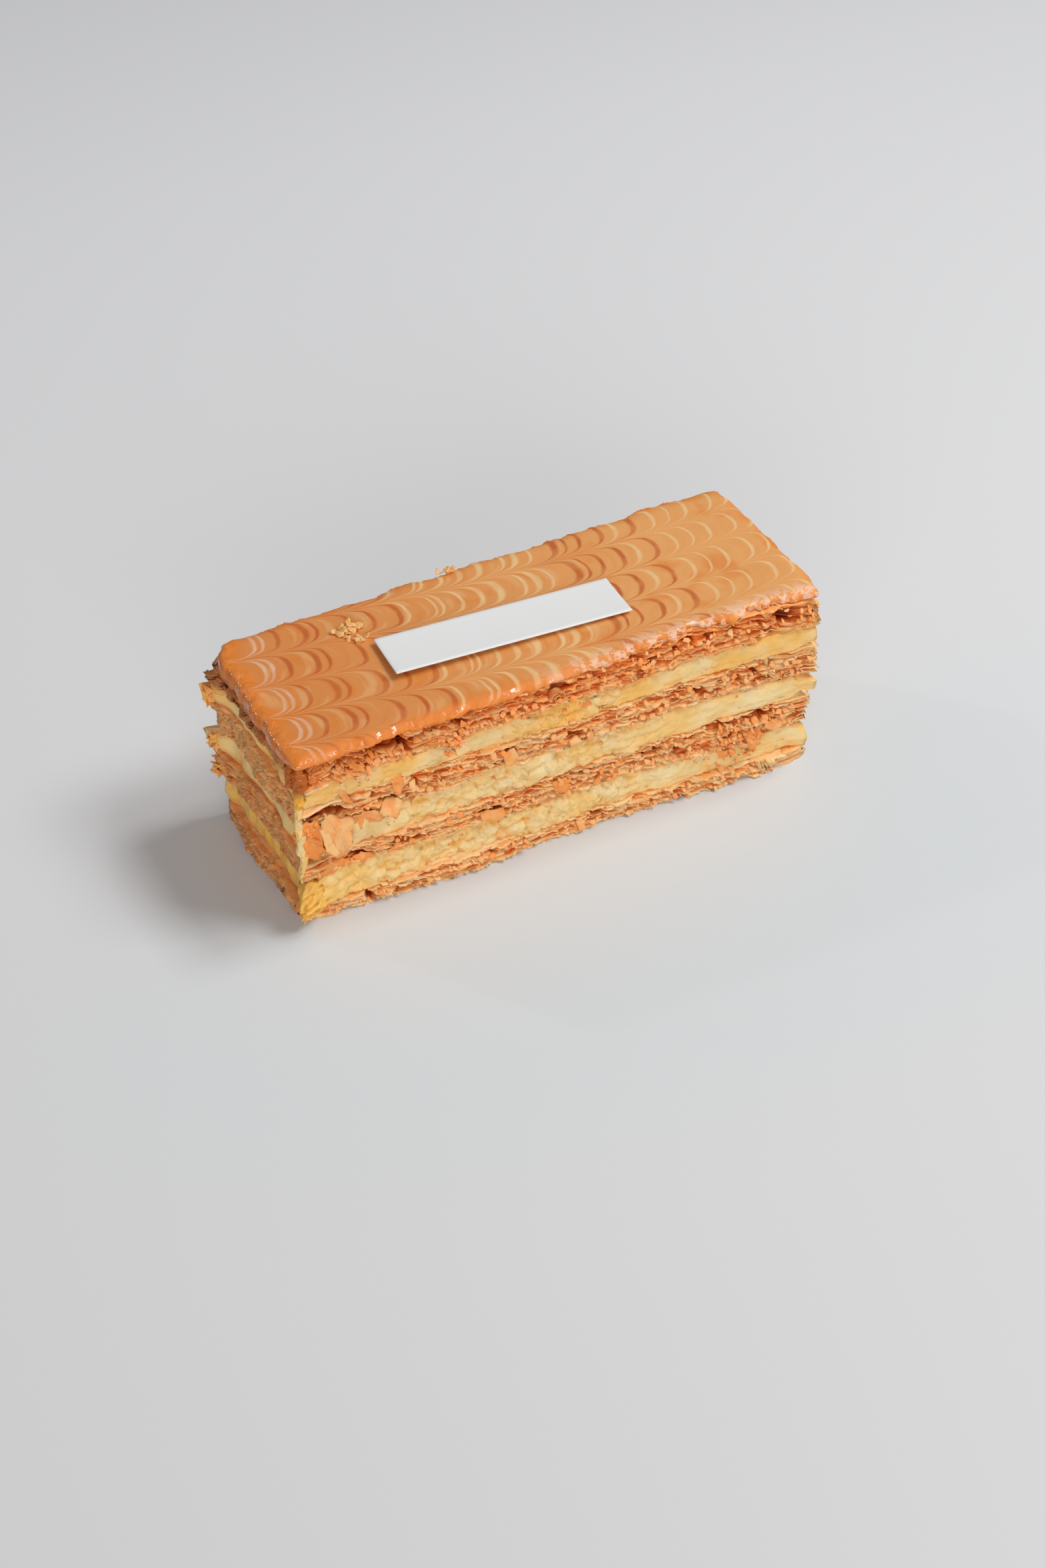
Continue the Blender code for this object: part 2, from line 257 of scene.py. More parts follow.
def finished_piece(name, meshes, material, nodes=()):
    """One object at the origin from one or more meshes, riding on the slice and standing for CAD nodes."""
    joined = bmesh.new()
    for mesh in meshes:
        joined.from_mesh(mesh)
    whole = bpy.data.meshes.new(name)
    joined.to_mesh(whole)
    joined.free()
    for mesh in meshes:
        bpy.data.meshes.remove(mesh)
    whole.materials.clear()
    whole.materials.append(material)
    whole.polygons.foreach_set("material_index", [0] * len(whole.polygons))
    whole.shade_smooth()
    obj = link_object(name, whole)
    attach(obj, "root")
    if nodes:
        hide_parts(*nodes)
    return obj


# Bands of mesh that run round the slice and are fitted to a layer's cut.


def root_path():
    """Stations anticlockwise round a rounded oblong inside the cut, as (point, outward)."""
    low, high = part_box("icing")
    x0 = low[0] + ROOT_INSET
    y0 = low[1] + ROOT_INSET
    x1 = high[0] - ROOT_INSET
    y1 = high[1] - ROOT_INSET
    centres = ((x0, y0, 1, 1), (x1, y0, -1, 1), (x1, y1, -1, -1), (x0, y1, 1, -1))
    stations = []
    for index, (x, y, sx, sy) in enumerate(centres):
        centre = Vector((x + sx * ROOT_RADIUS, y + sy * ROOT_RADIUS, 0))
        start = math.pi + index * math.pi / 2
        for step in range(CORNER_STATIONS):
            angle = start + math.pi / 2 * step / CORNER_STATIONS
            facing = Vector((math.cos(angle), math.sin(angle), 0))
            stations.append((centre + facing * ROOT_RADIUS, facing))
        nx, ny, nsx, nsy = centres[(index + 1) % 4]
        facing = Vector((math.cos(start + math.pi / 2), math.sin(start + math.pi / 2), 0))
        begin = centre + facing * ROOT_RADIUS
        end = Vector((nx + nsx * ROOT_RADIUS, ny + nsy * ROOT_RADIUS, 0)) + facing * ROOT_RADIUS
        count = max(2, round((end - begin).length / STATION))
        for step in range(count):
            stations.append((begin.lerp(end, step / count), facing))
    return stations


def band(name, section, closed=False, caps=False):
    """A band round the slice. Each point keeps how far it reaches out, its level in the layer, and the
    outward direction there. A reach below 0 is a share of the way in to the slice's long middle line."""
    stations = root_path()
    left = min(at.x for at, _ in stations)
    right = max(at.x for at, _ in stations)
    front = min(at.y for at, _ in stations)
    back = max(at.y for at, _ in stations)
    half = (back - front) / 2
    points = []
    for at, _ in stations:
        middle = Vector((min(max(at.x, left + half), right - half), (front + back) / 2, 0))
        points += [at.lerp(middle, max(0.0, -reach)) for reach, _ in section]
    rows = len(section)
    count = len(stations)
    faces = []
    for i in range(count):
        j = (i + 1) % count
        for row in range(rows if closed else rows - 1):
            above = (row + 1) % rows
            faces.append((i * rows + row, j * rows + row, j * rows + above, i * rows + above))
    if caps:
        faces.append([i * rows for i in reversed(range(count))])
        faces.append([i * rows + rows - 1 for i in range(count)])
    mesh = bpy.data.meshes.new(name)
    mesh.from_pydata(points, [], faces)
    reach = mesh.attributes.new("reach", "FLOAT", "POINT")
    level = mesh.attributes.new("level", "FLOAT", "POINT")
    outward = mesh.attributes.new("outward", "FLOAT_VECTOR", "POINT")
    reach.data.foreach_set("value", [max(0.0, one[0]) for _ in range(count) for one in section])
    level.data.foreach_set("value", [one[1] for _ in range(count) for one in section])
    outward.data.foreach_set("vector", [part for _, facing in stations for _ in section for part in facing])
    return link_object(name, mesh)


def fit_to_cut(tree, layer, at, level, ray_level=None):
    """Nodes that find a layer's cut: the height at this level, and the way out to it from the root path."""
    reach = named(tree, "reach")
    outward = named(tree, "outward", "FLOAT_VECTOR")
    inward = vector("SCALE", outward, -1.0)

    def ray(source, direction, length):
        given = {"Source Position": source, "Ray Direction": direction, "Ray Length": length}
        return add(tree, "GeometryNodeRaycast", layer, named=given)

    def foot_and_crown(depth, spares=(0.0, 0.0)):
        x, y, _ = separate(moved_by(at, outward, depth))
        found = []
        for start, rise, spare in ((-0.01, 1.0, spares[0]), (0.06, -1.0, spares[1])):
            hit = ray(combine(x, y, start), (0.0, 0.0, rise), 0.1)
            past = separate(out(hit, "Hit Position"))[2] - spare
            found.append(past * out(hit, "Is Hit") + spare)
        return found

    def edge_at(height):
        beyond = moved_by(at, outward, FAR_OUT)
        x, y, _ = separate(beyond)
        hit = ray(combine(x, y, height), inward, FAR_OUT)
        gap = out(hit, "Is Hit") * out(hit, "Hit Distance")
        missed = (1.0 - out(hit, "Is Hit")) * (FAR_OUT - 6 * MM)
        return FAR_OUT - (gap + missed)

    rough_foot, rough_crown = foot_and_crown(PROBE, foot_and_crown(INNER_PROBE))
    middle = (rough_foot + rough_crown) * 0.5
    near = edge_at(middle) - 0.5 * MM
    foot, crown = foot_and_crown(near * reach, (rough_foot, rough_crown))
    thick = crown - foot
    height = thick * level + foot
    sounding = thick * (ray_level if ray_level is not None else level) + foot
    lowest = foot + 0.3 * MM
    highest = crown - 0.3 * MM
    sounding = calc("MINIMUM", calc("MAXIMUM", sounding, lowest), highest)
    return height, edge_at(sounding)


def store(tree, geometry, name, value, domain="POINT"):
    given = {"Name": name, "Value": value}
    kind = "GeometryNodeStoreNamedAttribute"
    return out(add(tree, kind, geometry, named=given, data_type="FLOAT", domain=domain))


def place_points(tree, geometry, **where):
    """Sets or shifts the points, given position= or offset=."""
    given = {key.capitalize(): value for key, value in where.items()}
    return out(add(tree, "GeometryNodeSetPosition", geometry, named=given))


def crevice_depth(x, z, outward, zones):
    """How far the cut falls back in the front's crevices, and under the crust at the left end."""
    front = remap(separate(outward)[1], -0.4, -0.8)
    left = remap(separate(outward)[0], -0.6, -0.95)
    place = position(tree_of(x))
    drop = noise(place, 130.0, 2.0) * (-3.0 * MM) + (z - 37.0 * MM)
    gap = remap(abs(drop), 1.0 * MM, 0.5 * MM, smooth=True)
    gap = gap * remap(noise(place, 210.0, 1.0), 0.4, 0.5)
    total = gap * left * (2.6 * MM)
    for across, up, length, height, slope, depth in zones:
        along = x - across * MM
        rise = along * -slope + (z - up * MM)
        near = remap(abs(along), length * MM, (length * 0.55 - 0.3) * MM, smooth=True)
        open_part = remap(abs(rise), height * 1.35 * MM, height * 0.6 * MM, smooth=True)
        share = near * open_part * front
        total = share * (depth * 1.25 * MM) + total
    return total


def leaf_stack_tree(zones):
    """Many thin torn leaves that follow a pastry sheet's cut."""
    tree, given = geometry_tree(
        "leaf stack", Layer="Object", Leaves=15, Thickness=0.3 * MM, Tear=1.1 * MM, Curl=0.9 * MM, Seed=0.0
    )
    layer = layer_shape(tree, given)
    single = out(add(tree, "GeometryNodeGeometryToInstance", given["Geometry"]))
    amount = {"Amount": given["Leaves"]}
    copies = add(tree, "GeometryNodeDuplicateElements", single, named=amount, domain="INSTANCE")
    marked = store(tree, out(copies, "Geometry"), "leaf", out(copies, "Duplicate Index"), "INSTANCE")
    leaves = out(add(tree, "GeometryNodeRealizeInstances", marked))

    at, side, reach, outward = band_reads(tree)
    leaf = named(tree, "leaf")
    x, y, _ = separate(at)
    own = leaf * 0.037 + given["Seed"]
    key = combine(x, y, own)
    wander = noise(key, 130.0, 3.0) - 0.5
    place = leaf + 0.5 + wander * 3.4
    share = place / given["Leaves"]
    share = calc("MINIMUM", calc("MAXIMUM", share, 0.0), 0.97)
    height, edge = fit_to_cut(tree, layer, at, share)

    _, odd = cells(key, 180.0)
    _, small = cells(key, 520.0)
    coarse = noise(key, 170.0, 1.0) - 0.5
    fine = noise(key, 950.0, 3.0, 0.65) - 0.5
    torn = odd[0] ** 2.6
    torn = small[0] ** 2.0 * 0.7 + torn
    torn = coarse * 0.9 + torn
    torn = fine * 0.7 + torn
    ends = remap(abs(separate(outward)[0]), 0.45, 0.95)
    calm = ends * -0.82 + 1.0
    line = remap(noise(key, 75.0, 1.0), 0.57, 0.66, smooth=True)
    torn = line * 1.1 + torn
    torn = torn * calm * given["Tear"] - 0.4 * MM
    opening = crevice_depth(x, height, outward, zones)
    torn = torn + opening
    out_by = reach * (edge - torn)

    tip = remap(reach, 0.7, 1.0) ** 1.5
    scallop = noise(key, 280.0, 1.0) - 0.52
    lift = (small[1] - 0.5) * 0.22 + scallop * 1.5
    lively = remap(noise(at, 55.0, 1.0), 0.35, 0.65, 0.5, 1.6) * calm
    lift = lift * lively * (given["Curl"] * tip)
    wave = (noise(key, 330.0, 3.0) - 0.5) * (0.6 * MM)
    wave = wave * calm
    lift = wave * reach + lift
    thin = reach ** 6.0 * -0.35 + 1.0
    half = given["Thickness"] * 0.5 * thin
    body = odd[2] * 1.1 + 0.5
    lift = half * body * side + lift
    z = calc("MAXIMUM", height + lift, 0.0)

    px, py, _ = separate(moved_by(at, outward, out_by))
    # The inset carries painted shade into the pastry's colour: the further a leaf's edge lies behind the cut,
    # or down a crevice, the darker it is painted; the outermost leaves get less.
    outermost = remap(abs(share - 0.5), 0.36, 0.46, 1.0, 0.15)
    inset = remap(edge - out_by, 0.0, 3.0 * MM) * outermost
    inset = calc("MAXIMUM", inset, remap(opening, 0.8 * MM, 2.4 * MM))
    kept = store(tree, store(tree, leaves, "inset", inset), "bake", odd[2])
    moved = place_points(tree, kept, position=combine(px, py, z))
    grain = noise(position(tree), 1700.0, 2.0, key=1)
    grain = vector("SUBTRACT", grain, (0.5, 0.5, 0.5))
    grain = vector("SCALE", grain, tip * (ends * (0.5 * MM) + 0.36 * MM))
    return end_tree(tree, place_points(tree, moved, offset=grain), given)


def core_tree(zones):
    """The closed stack behind the leaves' edges, fitted to the cut and set in."""
    tree, given = geometry_tree("sheet core", Layer="Object", Set_In=1.6 * MM, Rough=1.2 * MM)
    layer = layer_shape(tree, given)
    at, level, reach, outward = band_reads(tree)
    height, edge = fit_to_cut(tree, layer, at, level)
    x, y, _ = separate(at)
    rough = noise(combine(x, y, height * 3.0), 420.0, 3.0) - 0.5
    depth = rough * given["Rough"] + given["Set In"]
    opening = crevice_depth(x, height, outward, zones)
    depth = depth + opening
    away = reach * (edge - depth)
    x, y, _ = separate(moved_by(at, outward, away))
    # The inset carries painted shade into the pastry's colour, darker where the core lies further behind the
    # cut or down a crevice.
    outermost = remap(abs(level - 0.5), 0.38, 0.49, 1.0, 0.1)
    inset = remap(depth, 0.0, 3.0 * MM) * outermost
    inset = calc("MAXIMUM", inset, remap(opening, 0.8 * MM, 2.4 * MM))
    kept = store(tree, given["Geometry"], "inset", inset)
    return end_tree(tree, place_points(tree, kept, position=combine(x, y, height)), given)


def custard_tree():
    """A custard layer fitted to its cut: torn and lumpy in one stretch, smeared smooth in the rest."""
    tree, given = geometry_tree(
        "custard layer",
        Layer="Object",
        Torn_From=-45 * MM,
        Torn_To=10 * MM,
        Lumps=1.2 * MM,
        Smears=0.5 * MM,
        Proud=0.35 * MM,
    )
    layer = layer_shape(tree, given)
    at, level, reach, outward = band_reads(tree)
    rim = reach ** 8.0
    edge_band = level * 2.0 - 1.0
    at_edge = abs(edge_band) ** 5.0
    narrow = remap(abs(edge_band), 0.5, 0.9)
    height, edge = fit_to_cut(tree, layer, at, level)
    ends = remap(abs(separate(outward)[0]), 0.45, 0.95)
    proud = ends * (-0.3 * MM) + given["Proud"]
    away = reach * (edge + proud)
    x, y, _ = separate(moved_by(at, outward, away))
    sway = noise(combine(x, y, edge_band), 380.0, 3.0, 0.6) - 0.45
    sway = sway * edge_band * (rim * (1.5 * MM))
    spill = remap(level, 0.2, 0.0) * (1.0 - ends)
    sway = spill * rim * (-0.25 * MM) + sway
    moved = place_points(tree, given["Geometry"], position=combine(x, y, height + sway))

    here = position(tree)
    hx, _, _ = separate(here)
    loose = (noise(here, 90.0, 2.0) - 0.5) * (14 * MM) + hx
    opened = remap(loose, given["Torn From"], given["Torn From"] + 5 * MM, smooth=True)
    closed = remap(loose, given["Torn To"], given["Torn To"] - 6 * MM, smooth=True)
    torn = opened * closed * 0.72 + 0.28

    warp = noise(here, 300.0, 3.0, key=1)
    warp = vector("SCALE", vector("SUBTRACT", warp, (0.5, 0.5, 0.5)), 2.6 * MM)
    bent = vector("MULTIPLY", vector("ADD", here, warp), (0.8, 1.0, 1.0))

    def lumps(scale, share):
        distance, tone = cells(bent, scale)
        dome = distance ** 2.0 * -1.1 + 0.4
        step = tone[0] - 0.6
        return (step * 0.8 + dome) * share

    relief = lumps(400.0, 1.0) + lumps(1050.0, 0.32)
    relief = relief * torn * given["Lumps"]
    smear = noise(vector("MULTIPLY", here, (1.0, 1.0, 4.0)), 190.0, 3.0) - 0.5
    relief = smear * given["Smears"] + relief
    # The hollow mark paints shade into the custard's pits and tears.
    hollow = remap(relief, 0.0, -0.9 * MM)
    relief = at_edge * level * (-0.3 * MM) + relief
    relief = spill * (0.3 * MM) + relief
    relief = relief * (rim * (ends * -0.82 + 1.0))
    kept = store(tree, moved, "hollow", hollow)
    kept = store(tree, kept, "border", calc("MAXIMUM", at_edge, ends * narrow))
    return end_tree(tree, place_points(tree, kept, offset=vector("SCALE", outward, relief)), given)


def wall_section(levels, inner=(0.0,)):
    """A section that runs out under a layer, up its cut, and back over its top."""
    rise = [(1.0, index / levels) for index in range(levels + 1)]
    foot = [(reach, 0.0) for reach in inner]
    crown = [(reach, 1.0) for reach in reversed(inner)]
    return [*foot, (0.55, 0.0), *rise, (0.55, 1.0), *crown]


def chip_mesh(name, seed, sides=7, bend=0.35, thick=0.16):
    """A thin bent scrap of unit size, with an uneven outline."""
    draw = random.Random(seed)
    ring = []
    for index in range(sides):
        angle = math.tau * (index + draw.uniform(-0.3, 0.3)) / sides
        size = draw.uniform(0.55, 1.0)
        ring.append((math.cos(angle) * size, math.sin(angle) * size * 0.62))
    points = []
    for lift in (thick / 2, -thick / 2):
        for x, y in (*ring, (0.0, 0.0)):
            points.append((x, y, lift + bend * (x * x - 0.3) + 0.25 * bend * y * y))
    faces = []
    for index in range(sides):
        after = (index + 1) % sides
        faces.append((index, after, sides))
        faces.append((sides + 1 + after, sides + 1 + index, 2 * sides + 1))
        faces.append((after, index, sides + 1 + index, sides + 1 + after))
    mesh = bpy.data.meshes.new(name)
    mesh.from_pydata(points, [], faces)
    return mesh


def chip_kit():
    """A collection of differently shaped chips for the scatter trees."""
    kit = bpy.data.collections.new("chip_kit")
    for seed in range(7):
        mesh = chip_mesh(f"chip_{seed}", seed + 3, bend=(0.2, 0.5, -0.3)[seed % 3])
        kit.objects.link(bpy.data.objects.new(f"chip_{seed}", mesh))
    return kit


def remove_kit(kit):
    for obj in list(kit.objects):
        discard(obj)
    bpy.data.collections.remove(kit)


def scatter_tree(zones):
    """Chips spread over the upright faces of a layer, lying roughly in the leaves' plane."""
    tree, given = geometry_tree(
        "scattered chips",
        Layer="Object",
        Chips="Collection",
        Density=300000.0,
        Smallest=0.25 * MM,
        Largest=0.85 * MM,
        Tilt=0.4,
        Sunk=0.4 * MM,
        Seed=1,
    )
    layer = layer_shape(tree, given)
    slope = separate(out(add(tree, "GeometryNodeInputNormal")))[2]
    upright = out(add(tree, "FunctionNodeCompare", abs(slope), 0.5, operation="LESS_THAN"))
    named_inputs = {"Selection": upright, "Density": given["Density"], "Seed": given["Seed"]}
    points = add(tree, "GeometryNodeDistributePointsOnFaces", layer, named=named_inputs)

    def chance(low, high, offset, kind="FLOAT"):
        named_values = {"Min": low, "Max": high, "Seed": given["Seed"] + float(offset)}
        return out(add(tree, "FunctionNodeRandomValue", named=named_values, data_type=kind), "Value")

    normal = out(points, "Normal")
    align = "FunctionNodeAlignRotationToVector"
    turned = add(tree, align, named={"Vector": normal}, axis="X", pivot_axis="Z")
    tilt = given["Tilt"]
    low = tilt * -1.0
    spin = combine(chance(low, tilt, 11), chance(low, tilt, 12), chance(-1.2, 1.2, 13))
    spin = out(add(tree, "FunctionNodeEulerToRotation", spin))
    turned = out(add(tree, "FunctionNodeRotateRotation", out(turned), spin, rotation_space="LOCAL"))
    size = chance(given["Smallest"], given["Largest"], 14)
    x, _, z = separate(position(tree))
    fallen = crevice_depth(x, z, normal, zones) * -1.0
    sunk = chance(-1.6, 0.1, 15) * given["Sunk"] + fallen
    spots = place_points(tree, out(points, "Points"), offset=vector("SCALE", normal, sunk))
    kit = out(add(tree, "GeometryNodeCollectionInfo", given["Chips"], True, True))
    scale = combine(size, size, size)
    named_inputs = {"Instance": kit, "Pick Instance": True, "Rotation": turned, "Scale": scale}
    chips = out(add(tree, "GeometryNodeInstanceOnPoints", spots, named=named_inputs))
    # A small random inset paints a little shade on some chips.
    bake = store(tree, chips, "bake", chance(0.0, 1.0, 16), "INSTANCE")
    return end_tree(tree, store(tree, bake, "inset", chance(0.0, 0.2, 17), "INSTANCE"), given)


def scatter(kit, tree, node, **values):
    """Chips over one CAD node, as a plain mesh."""
    host = link_object("host", bpy.data.meshes.new("host"))
    mesh = run_tree(host, tree, {"Layer": frame["nodes"][node], "Chips": kit, **values})
    discard(host)
    return mesh


# Materials.


def new_material(name, roughness, specular=0.5, soft=()):
    """A material and its shader. Soft says how light goes in: its share, depth and each colour's reach."""
    material = bpy.data.materials.new(name)
    material.use_nodes = True
    shader = material.node_tree.nodes["Principled BSDF"]
    feed(shader, "Roughness", roughness)
    feed(shader, "Specular IOR Level", specular)
    for key, value in zip(("Weight", "Scale", "Radius"), soft):
        feed(shader, "Subsurface " + key, value)
    return material, material.node_tree, shader


def object_place(tree):
    return out(add(tree, "ShaderNodeTexCoord"), "Object")


def on_left_end(at):
    """1 on the slice's left end, told by the direction that the cut faces, or for scraps by their place."""
    faced = separate(attribute(tree_of(at), "outward", "Vector"))[0]
    return calc("MAXIMUM", remap(faced, -0.55, -0.9), remap(separate(at)[0], -59.8 * MM, -60.8 * MM))


def bumped(shader, height, strength, distance):
    given = {"Strength": strength, "Distance": distance, "Height": height}
    feed(shader, "Normal", out(add(shader.id_data, "ShaderNodeBump", named=given)))


def pastry_material(settings):
    """Golden leaves: each its own tone, toasted patches, painted shade where a leaf runs back into the stack,
    painted light on its outermost edges, and a crumb with painted shade on the left end.
    """
    soft = (0.15, 0.0005, (1.0, 0.6, 0.4))
    material, tree, shader = new_material("flaky_pastry", 0.58, 0.4, soft)
    at = object_place(tree)
    layered = vector("MULTIPLY", at, (110.0, 110.0, 1500.0))
    tone = noise(layered, 1.0, 2.0, 0.6)
    patch = noise(at, 260.0, 3.0, 0.6)
    speck = noise(at, 1500.0, 2.0, 0.6)
    bake = attribute(tree, "bake")
    tone = (bake - 0.5) * 0.22 + tone
    colour = blend(remap(tone, 0.36, 0.64), settings.pale, settings.golden)
    colour = blend(remap(patch, 0.5, 0.7) * 0.75, colour, settings.toasted)
    colour = blend(remap(speck, 0.55, 0.75) * 0.5, colour, settings.pale)
    _, _, up = separate(at)
    glaze = remap(up, 35 * MM, 41 * MM) * 0.45
    colour = blend(glaze, colour, settings.toasted)
    # Painted shade between the leaves, from the inset: a warm dark colour a little way in, a little less of
    # it below 33 mm, and the deep colour further in.
    inset = attribute(tree, "inset")
    fine = (speck - 0.5) * 0.35 + inset
    fine = fine - remap(up, 33 * MM, 37 * MM, 0.08, 0.0)
    colour = blend(remap(fine, 0.14, 0.46, smooth=True) * 0.9, colour, settings.ember)
    colour = blend(remap(inset, 0.42, 0.95, smooth=True) * 0.95, colour, settings.deep)
    # Painted light on the leaf edges that stand furthest out.
    crisp = remap(fine, 0.03, -0.09) * 0.5
    colour = blend(crisp, colour, settings.crisp)
    end = on_left_end(at)
    # The left end's crumb, with painted shade: darker towards the bottom and warmer, as the end lies in
    # shade.
    crumb = blend(remap(up, 8 * MM, 26 * MM), settings.end_low, settings.end_high)
    crumb = blend(remap(patch, 0.35, 0.65) * 0.4, crumb, settings.toasted)
    # The crust's left end: its own toasting and painted shade under the icing's overhang.
    crumb = blend(remap(up, 35 * MM, 37 * MM, 0.0, 0.9), crumb, settings.burnt_end)
    # Painted shade in the crumb's small holes.
    pore_shade_mask = remap(noise(at, 1200.0, 3.0, 0.6), 0.54, 0.68, 0.0, 0.8)
    crumb = blend(pore_shade_mask, crumb, settings.pore)
    crumb = blend(remap(inset, 0.5, 0.9), crumb, settings.deep)
    colour = blend(end * 0.85, colour, crumb)
    feed(shader, "Base Color", colour)
    grain = noise(at, 2600.0, 3.0) * 0.6 + patch * 0.6
    bumped(shader, grain, 0.35, 0.2 * MM)
    return material


def custard_material(settings):
    """Moist custard: pale yellow, with painted shade in its hollows, tan where the sheets have soaked it up,
    and painted warm shade on the left end.
    """
    soft = (0.2, 0.0008, (1.0, 0.8, 0.6))
    material, tree, shader = new_material("soft_custard", 0.36, 0.45, soft)
    at = object_place(tree)
    drift = noise(at, 130.0, 2.0)
    mottle = noise(at, 900.0, 3.0, 0.6)
    soak = noise(vector("MULTIPLY", at, (1.0, 1.0, 2.5)), 210.0, 3.0, 0.6)
    colour = blend(remap(drift, 0.35, 0.65), settings.custard_pale, settings.custard_deep)
    # Painted shade in the hollows.
    hollow = attribute(tree, "hollow")
    colour = blend(remap(hollow, 0.1, 0.9, 0.0, 0.85), colour, settings.custard_hollow)
    colour = blend(remap(mottle, 0.5, 0.75) * 0.4, colour, settings.custard_pale)
    border = attribute(tree, "border")
    soaked = calc("ADD", remap(border, 0.1, 0.9, 0.0, 0.75), remap(soak, 0.56, 0.72, 0.0, 0.5), clamp=True)
    colour = blend(soaked, colour, settings.soaked)
    along, _, up = separate(at)
    foot = remap(along, -38 * MM, -54 * MM) * remap(up, 15 * MM, 12 * MM)
    colour = blend(foot * remap(soak, 0.35, 0.6, 0.3, 0.9), colour, settings.yolk)
    high = remap(up, 28 * MM, 31 * MM) * remap(drift, 0.4, 0.6, 0.15, 0.5)
    colour = blend(high, colour, settings.custard_hollow)
    # Painted warm shade on the left end, which lies in shade.
    faced = separate(attribute(tree, "outward", "Vector"))[0]
    end = remap(faced, -0.55, -0.9)
    colour = blend(end, colour, (1.0, 0.96, 0.78), "MULTIPLY")
    crumbly = end * border * remap(mottle, 0.35, 0.6, 0.6, 1.0)
    colour = blend(crumbly, colour, settings.crumb)
    feed(shader, "Base Color", colour)
    fine = noise(at, 2400.0, 4.0, 0.6) * 0.4 + mottle
    bumped(shader, fine, 0.4, 0.3 * MM)
    return material


# The feathered icing: lines drawn across the slice, then dragged towards the left end along each cusp line.
ROW_PITCH = 9.6
CUSP_BEND = (-5.0, 32.0, 0.00115)
STRIPES = (
    (-55.6, 0.9, "blush"),
    (-53.8, 0.9, "blush"),
    (-50.4, 1.0, "caramel"),
    (-44.6, 1.3, "caramel"),
    (-42.2, 0.7, "caramel"),
    (-34.8, 1.1, "caramel"),
    (-30.0, 0.9, "caramel"),
    (-24.2, 1.2, "caramel"),
    (-22.4, 0.8, "cream"),
    (-16.4, 0.7, "cream"),
    (-14.8, 0.9, "cream"),
    (-10.5, 1.2, "cream"),
    (-6.3, 1.3, "cream"),
    (-1.7, 1.8, "cream"),
    (4.0, 0.9, "cream"),
    (6.9, 1.5, "cream"),
    (10.2, 0.8, "cream"),
    (16.3, 1.7, "caramel"),
    (18.8, 0.7, "caramel"),
    (22.2, 0.9, "caramel"),
    (27.5, 1.2, "caramel"),
    (31.2, 1.2, "cream"),
    (35.4, 1.2, "caramel"),
    (40.5, 1.0, "cream"),
    (44.6, 0.6, "cream"),
    (49.0, 0.9, "cream"),
    (55.4, 0.9, "cream"),
    (59.6, 0.8, "cream"),
)


def feathered_colour(tree, at, settings):
    """The icing's ground with its feathered lines, in millimetres along the slice."""
    x, y, _ = separate(vector("SCALE", at, 1000.0))
    shift = x - CUSP_BEND[1]
    bend = shift * shift * CUSP_BEND[2] + CUSP_BEND[0]
    row = (y - bend) / ROW_PITCH
    wobble = noise(at, 60.0, 1.0) - 0.5
    row = wobble * 0.22 + row
    number = calc("FLOOR", row)
    across = (row - number) * 2.0 - 1.0
    aside = abs(across)
    round_part = calc("SQRT", 1.0 - aside * aside)
    drag = (1.0 - round_part) * (settings.drag * 0.62)
    tail = aside ** 9.0 * (settings.drag * 0.9)
    own = out(add(tree, "ShaderNodeTexWhiteNoise", named={"W": number}, noise_dimensions="1D"))
    line = x + (drag + tail)
    line = y * -0.07 + line
    line = line + (own - 0.5) * 1.6
    waver = noise(at, 210.0, 2.0) - 0.5
    line = waver * 1.1 + line
    strand = noise(combine(line * 0.42, row * 0.8, 0.0), 1.0, 2.0)
    warm = remap(x, -60.0, 35.0)
    ground = blend(warm, settings.ground_left, settings.ground_right)
    pool = noise(at, 120.0, 2.0)
    ground = blend(remap(pool, 0.55, 0.72, smooth=True) * 0.55, ground, settings.amber)
    lively = remap(x, 34.0, 10.0, 0.25, 1.0)
    ground = blend(remap(strand, 0.55, 0.68, 0.0, 0.45) * lively, ground, settings.amber)
    ground = blend(remap(strand, 0.45, 0.34, 0.0, 0.3) * lively, ground, settings.cream)
    brim = attribute(tree, "brim")
    thick = (pool - 0.5) * 0.9 + brim
    ground = blend(remap(thick, 0.5, 1.0, smooth=True) * 0.85, ground, settings.amber)
    ground = blend(remap(brim, 1.1, 1.2, 0.0, 0.8), ground, settings.thick_rim)
    tints = {"caramel": settings.caramel, "cream": settings.cream, "blush": settings.blush}
    swell = noise(at, 150.0, 1.0) * 0.8 + 0.6
    fade = aside ** 3.0 * -0.45 + 1.0
    fade = fade * remap(noise(at, 260.0, 1.0), 0.35, 0.6, 0.65, 1.0)
    fade = fade * remap(brim, 0.88, 1.0, 1.0, 0.35)
    for place, width, tint in STRIPES:
        gap = abs(line - place)
        wide = swell * (width * (0.72 if tint == "caramel" else 0.6))
        strength = remap(gap, wide * 0.3, wide * 1.12, 1.0, 0.0, smooth=True) * (fade * 0.92)
        ground = blend(strength, ground, tints[tint])
    # Pinkish sugar crust at the front rim, partly painted highlight: pale patches where the rim catches the
    # light.
    near = remap(y, -14.5, -18.0, smooth=True) * remap(x, -10.0, 8.0)
    frost_highlight_patches = remap(noise(at, 330.0, 4.0, 0.75), 0.48, 0.53)
    ground = blend(remap(y, -17.0, -19.0) * 0.5, ground, settings.amber)
    return blend(near * frost_highlight_patches * 0.8, ground, settings.frost)


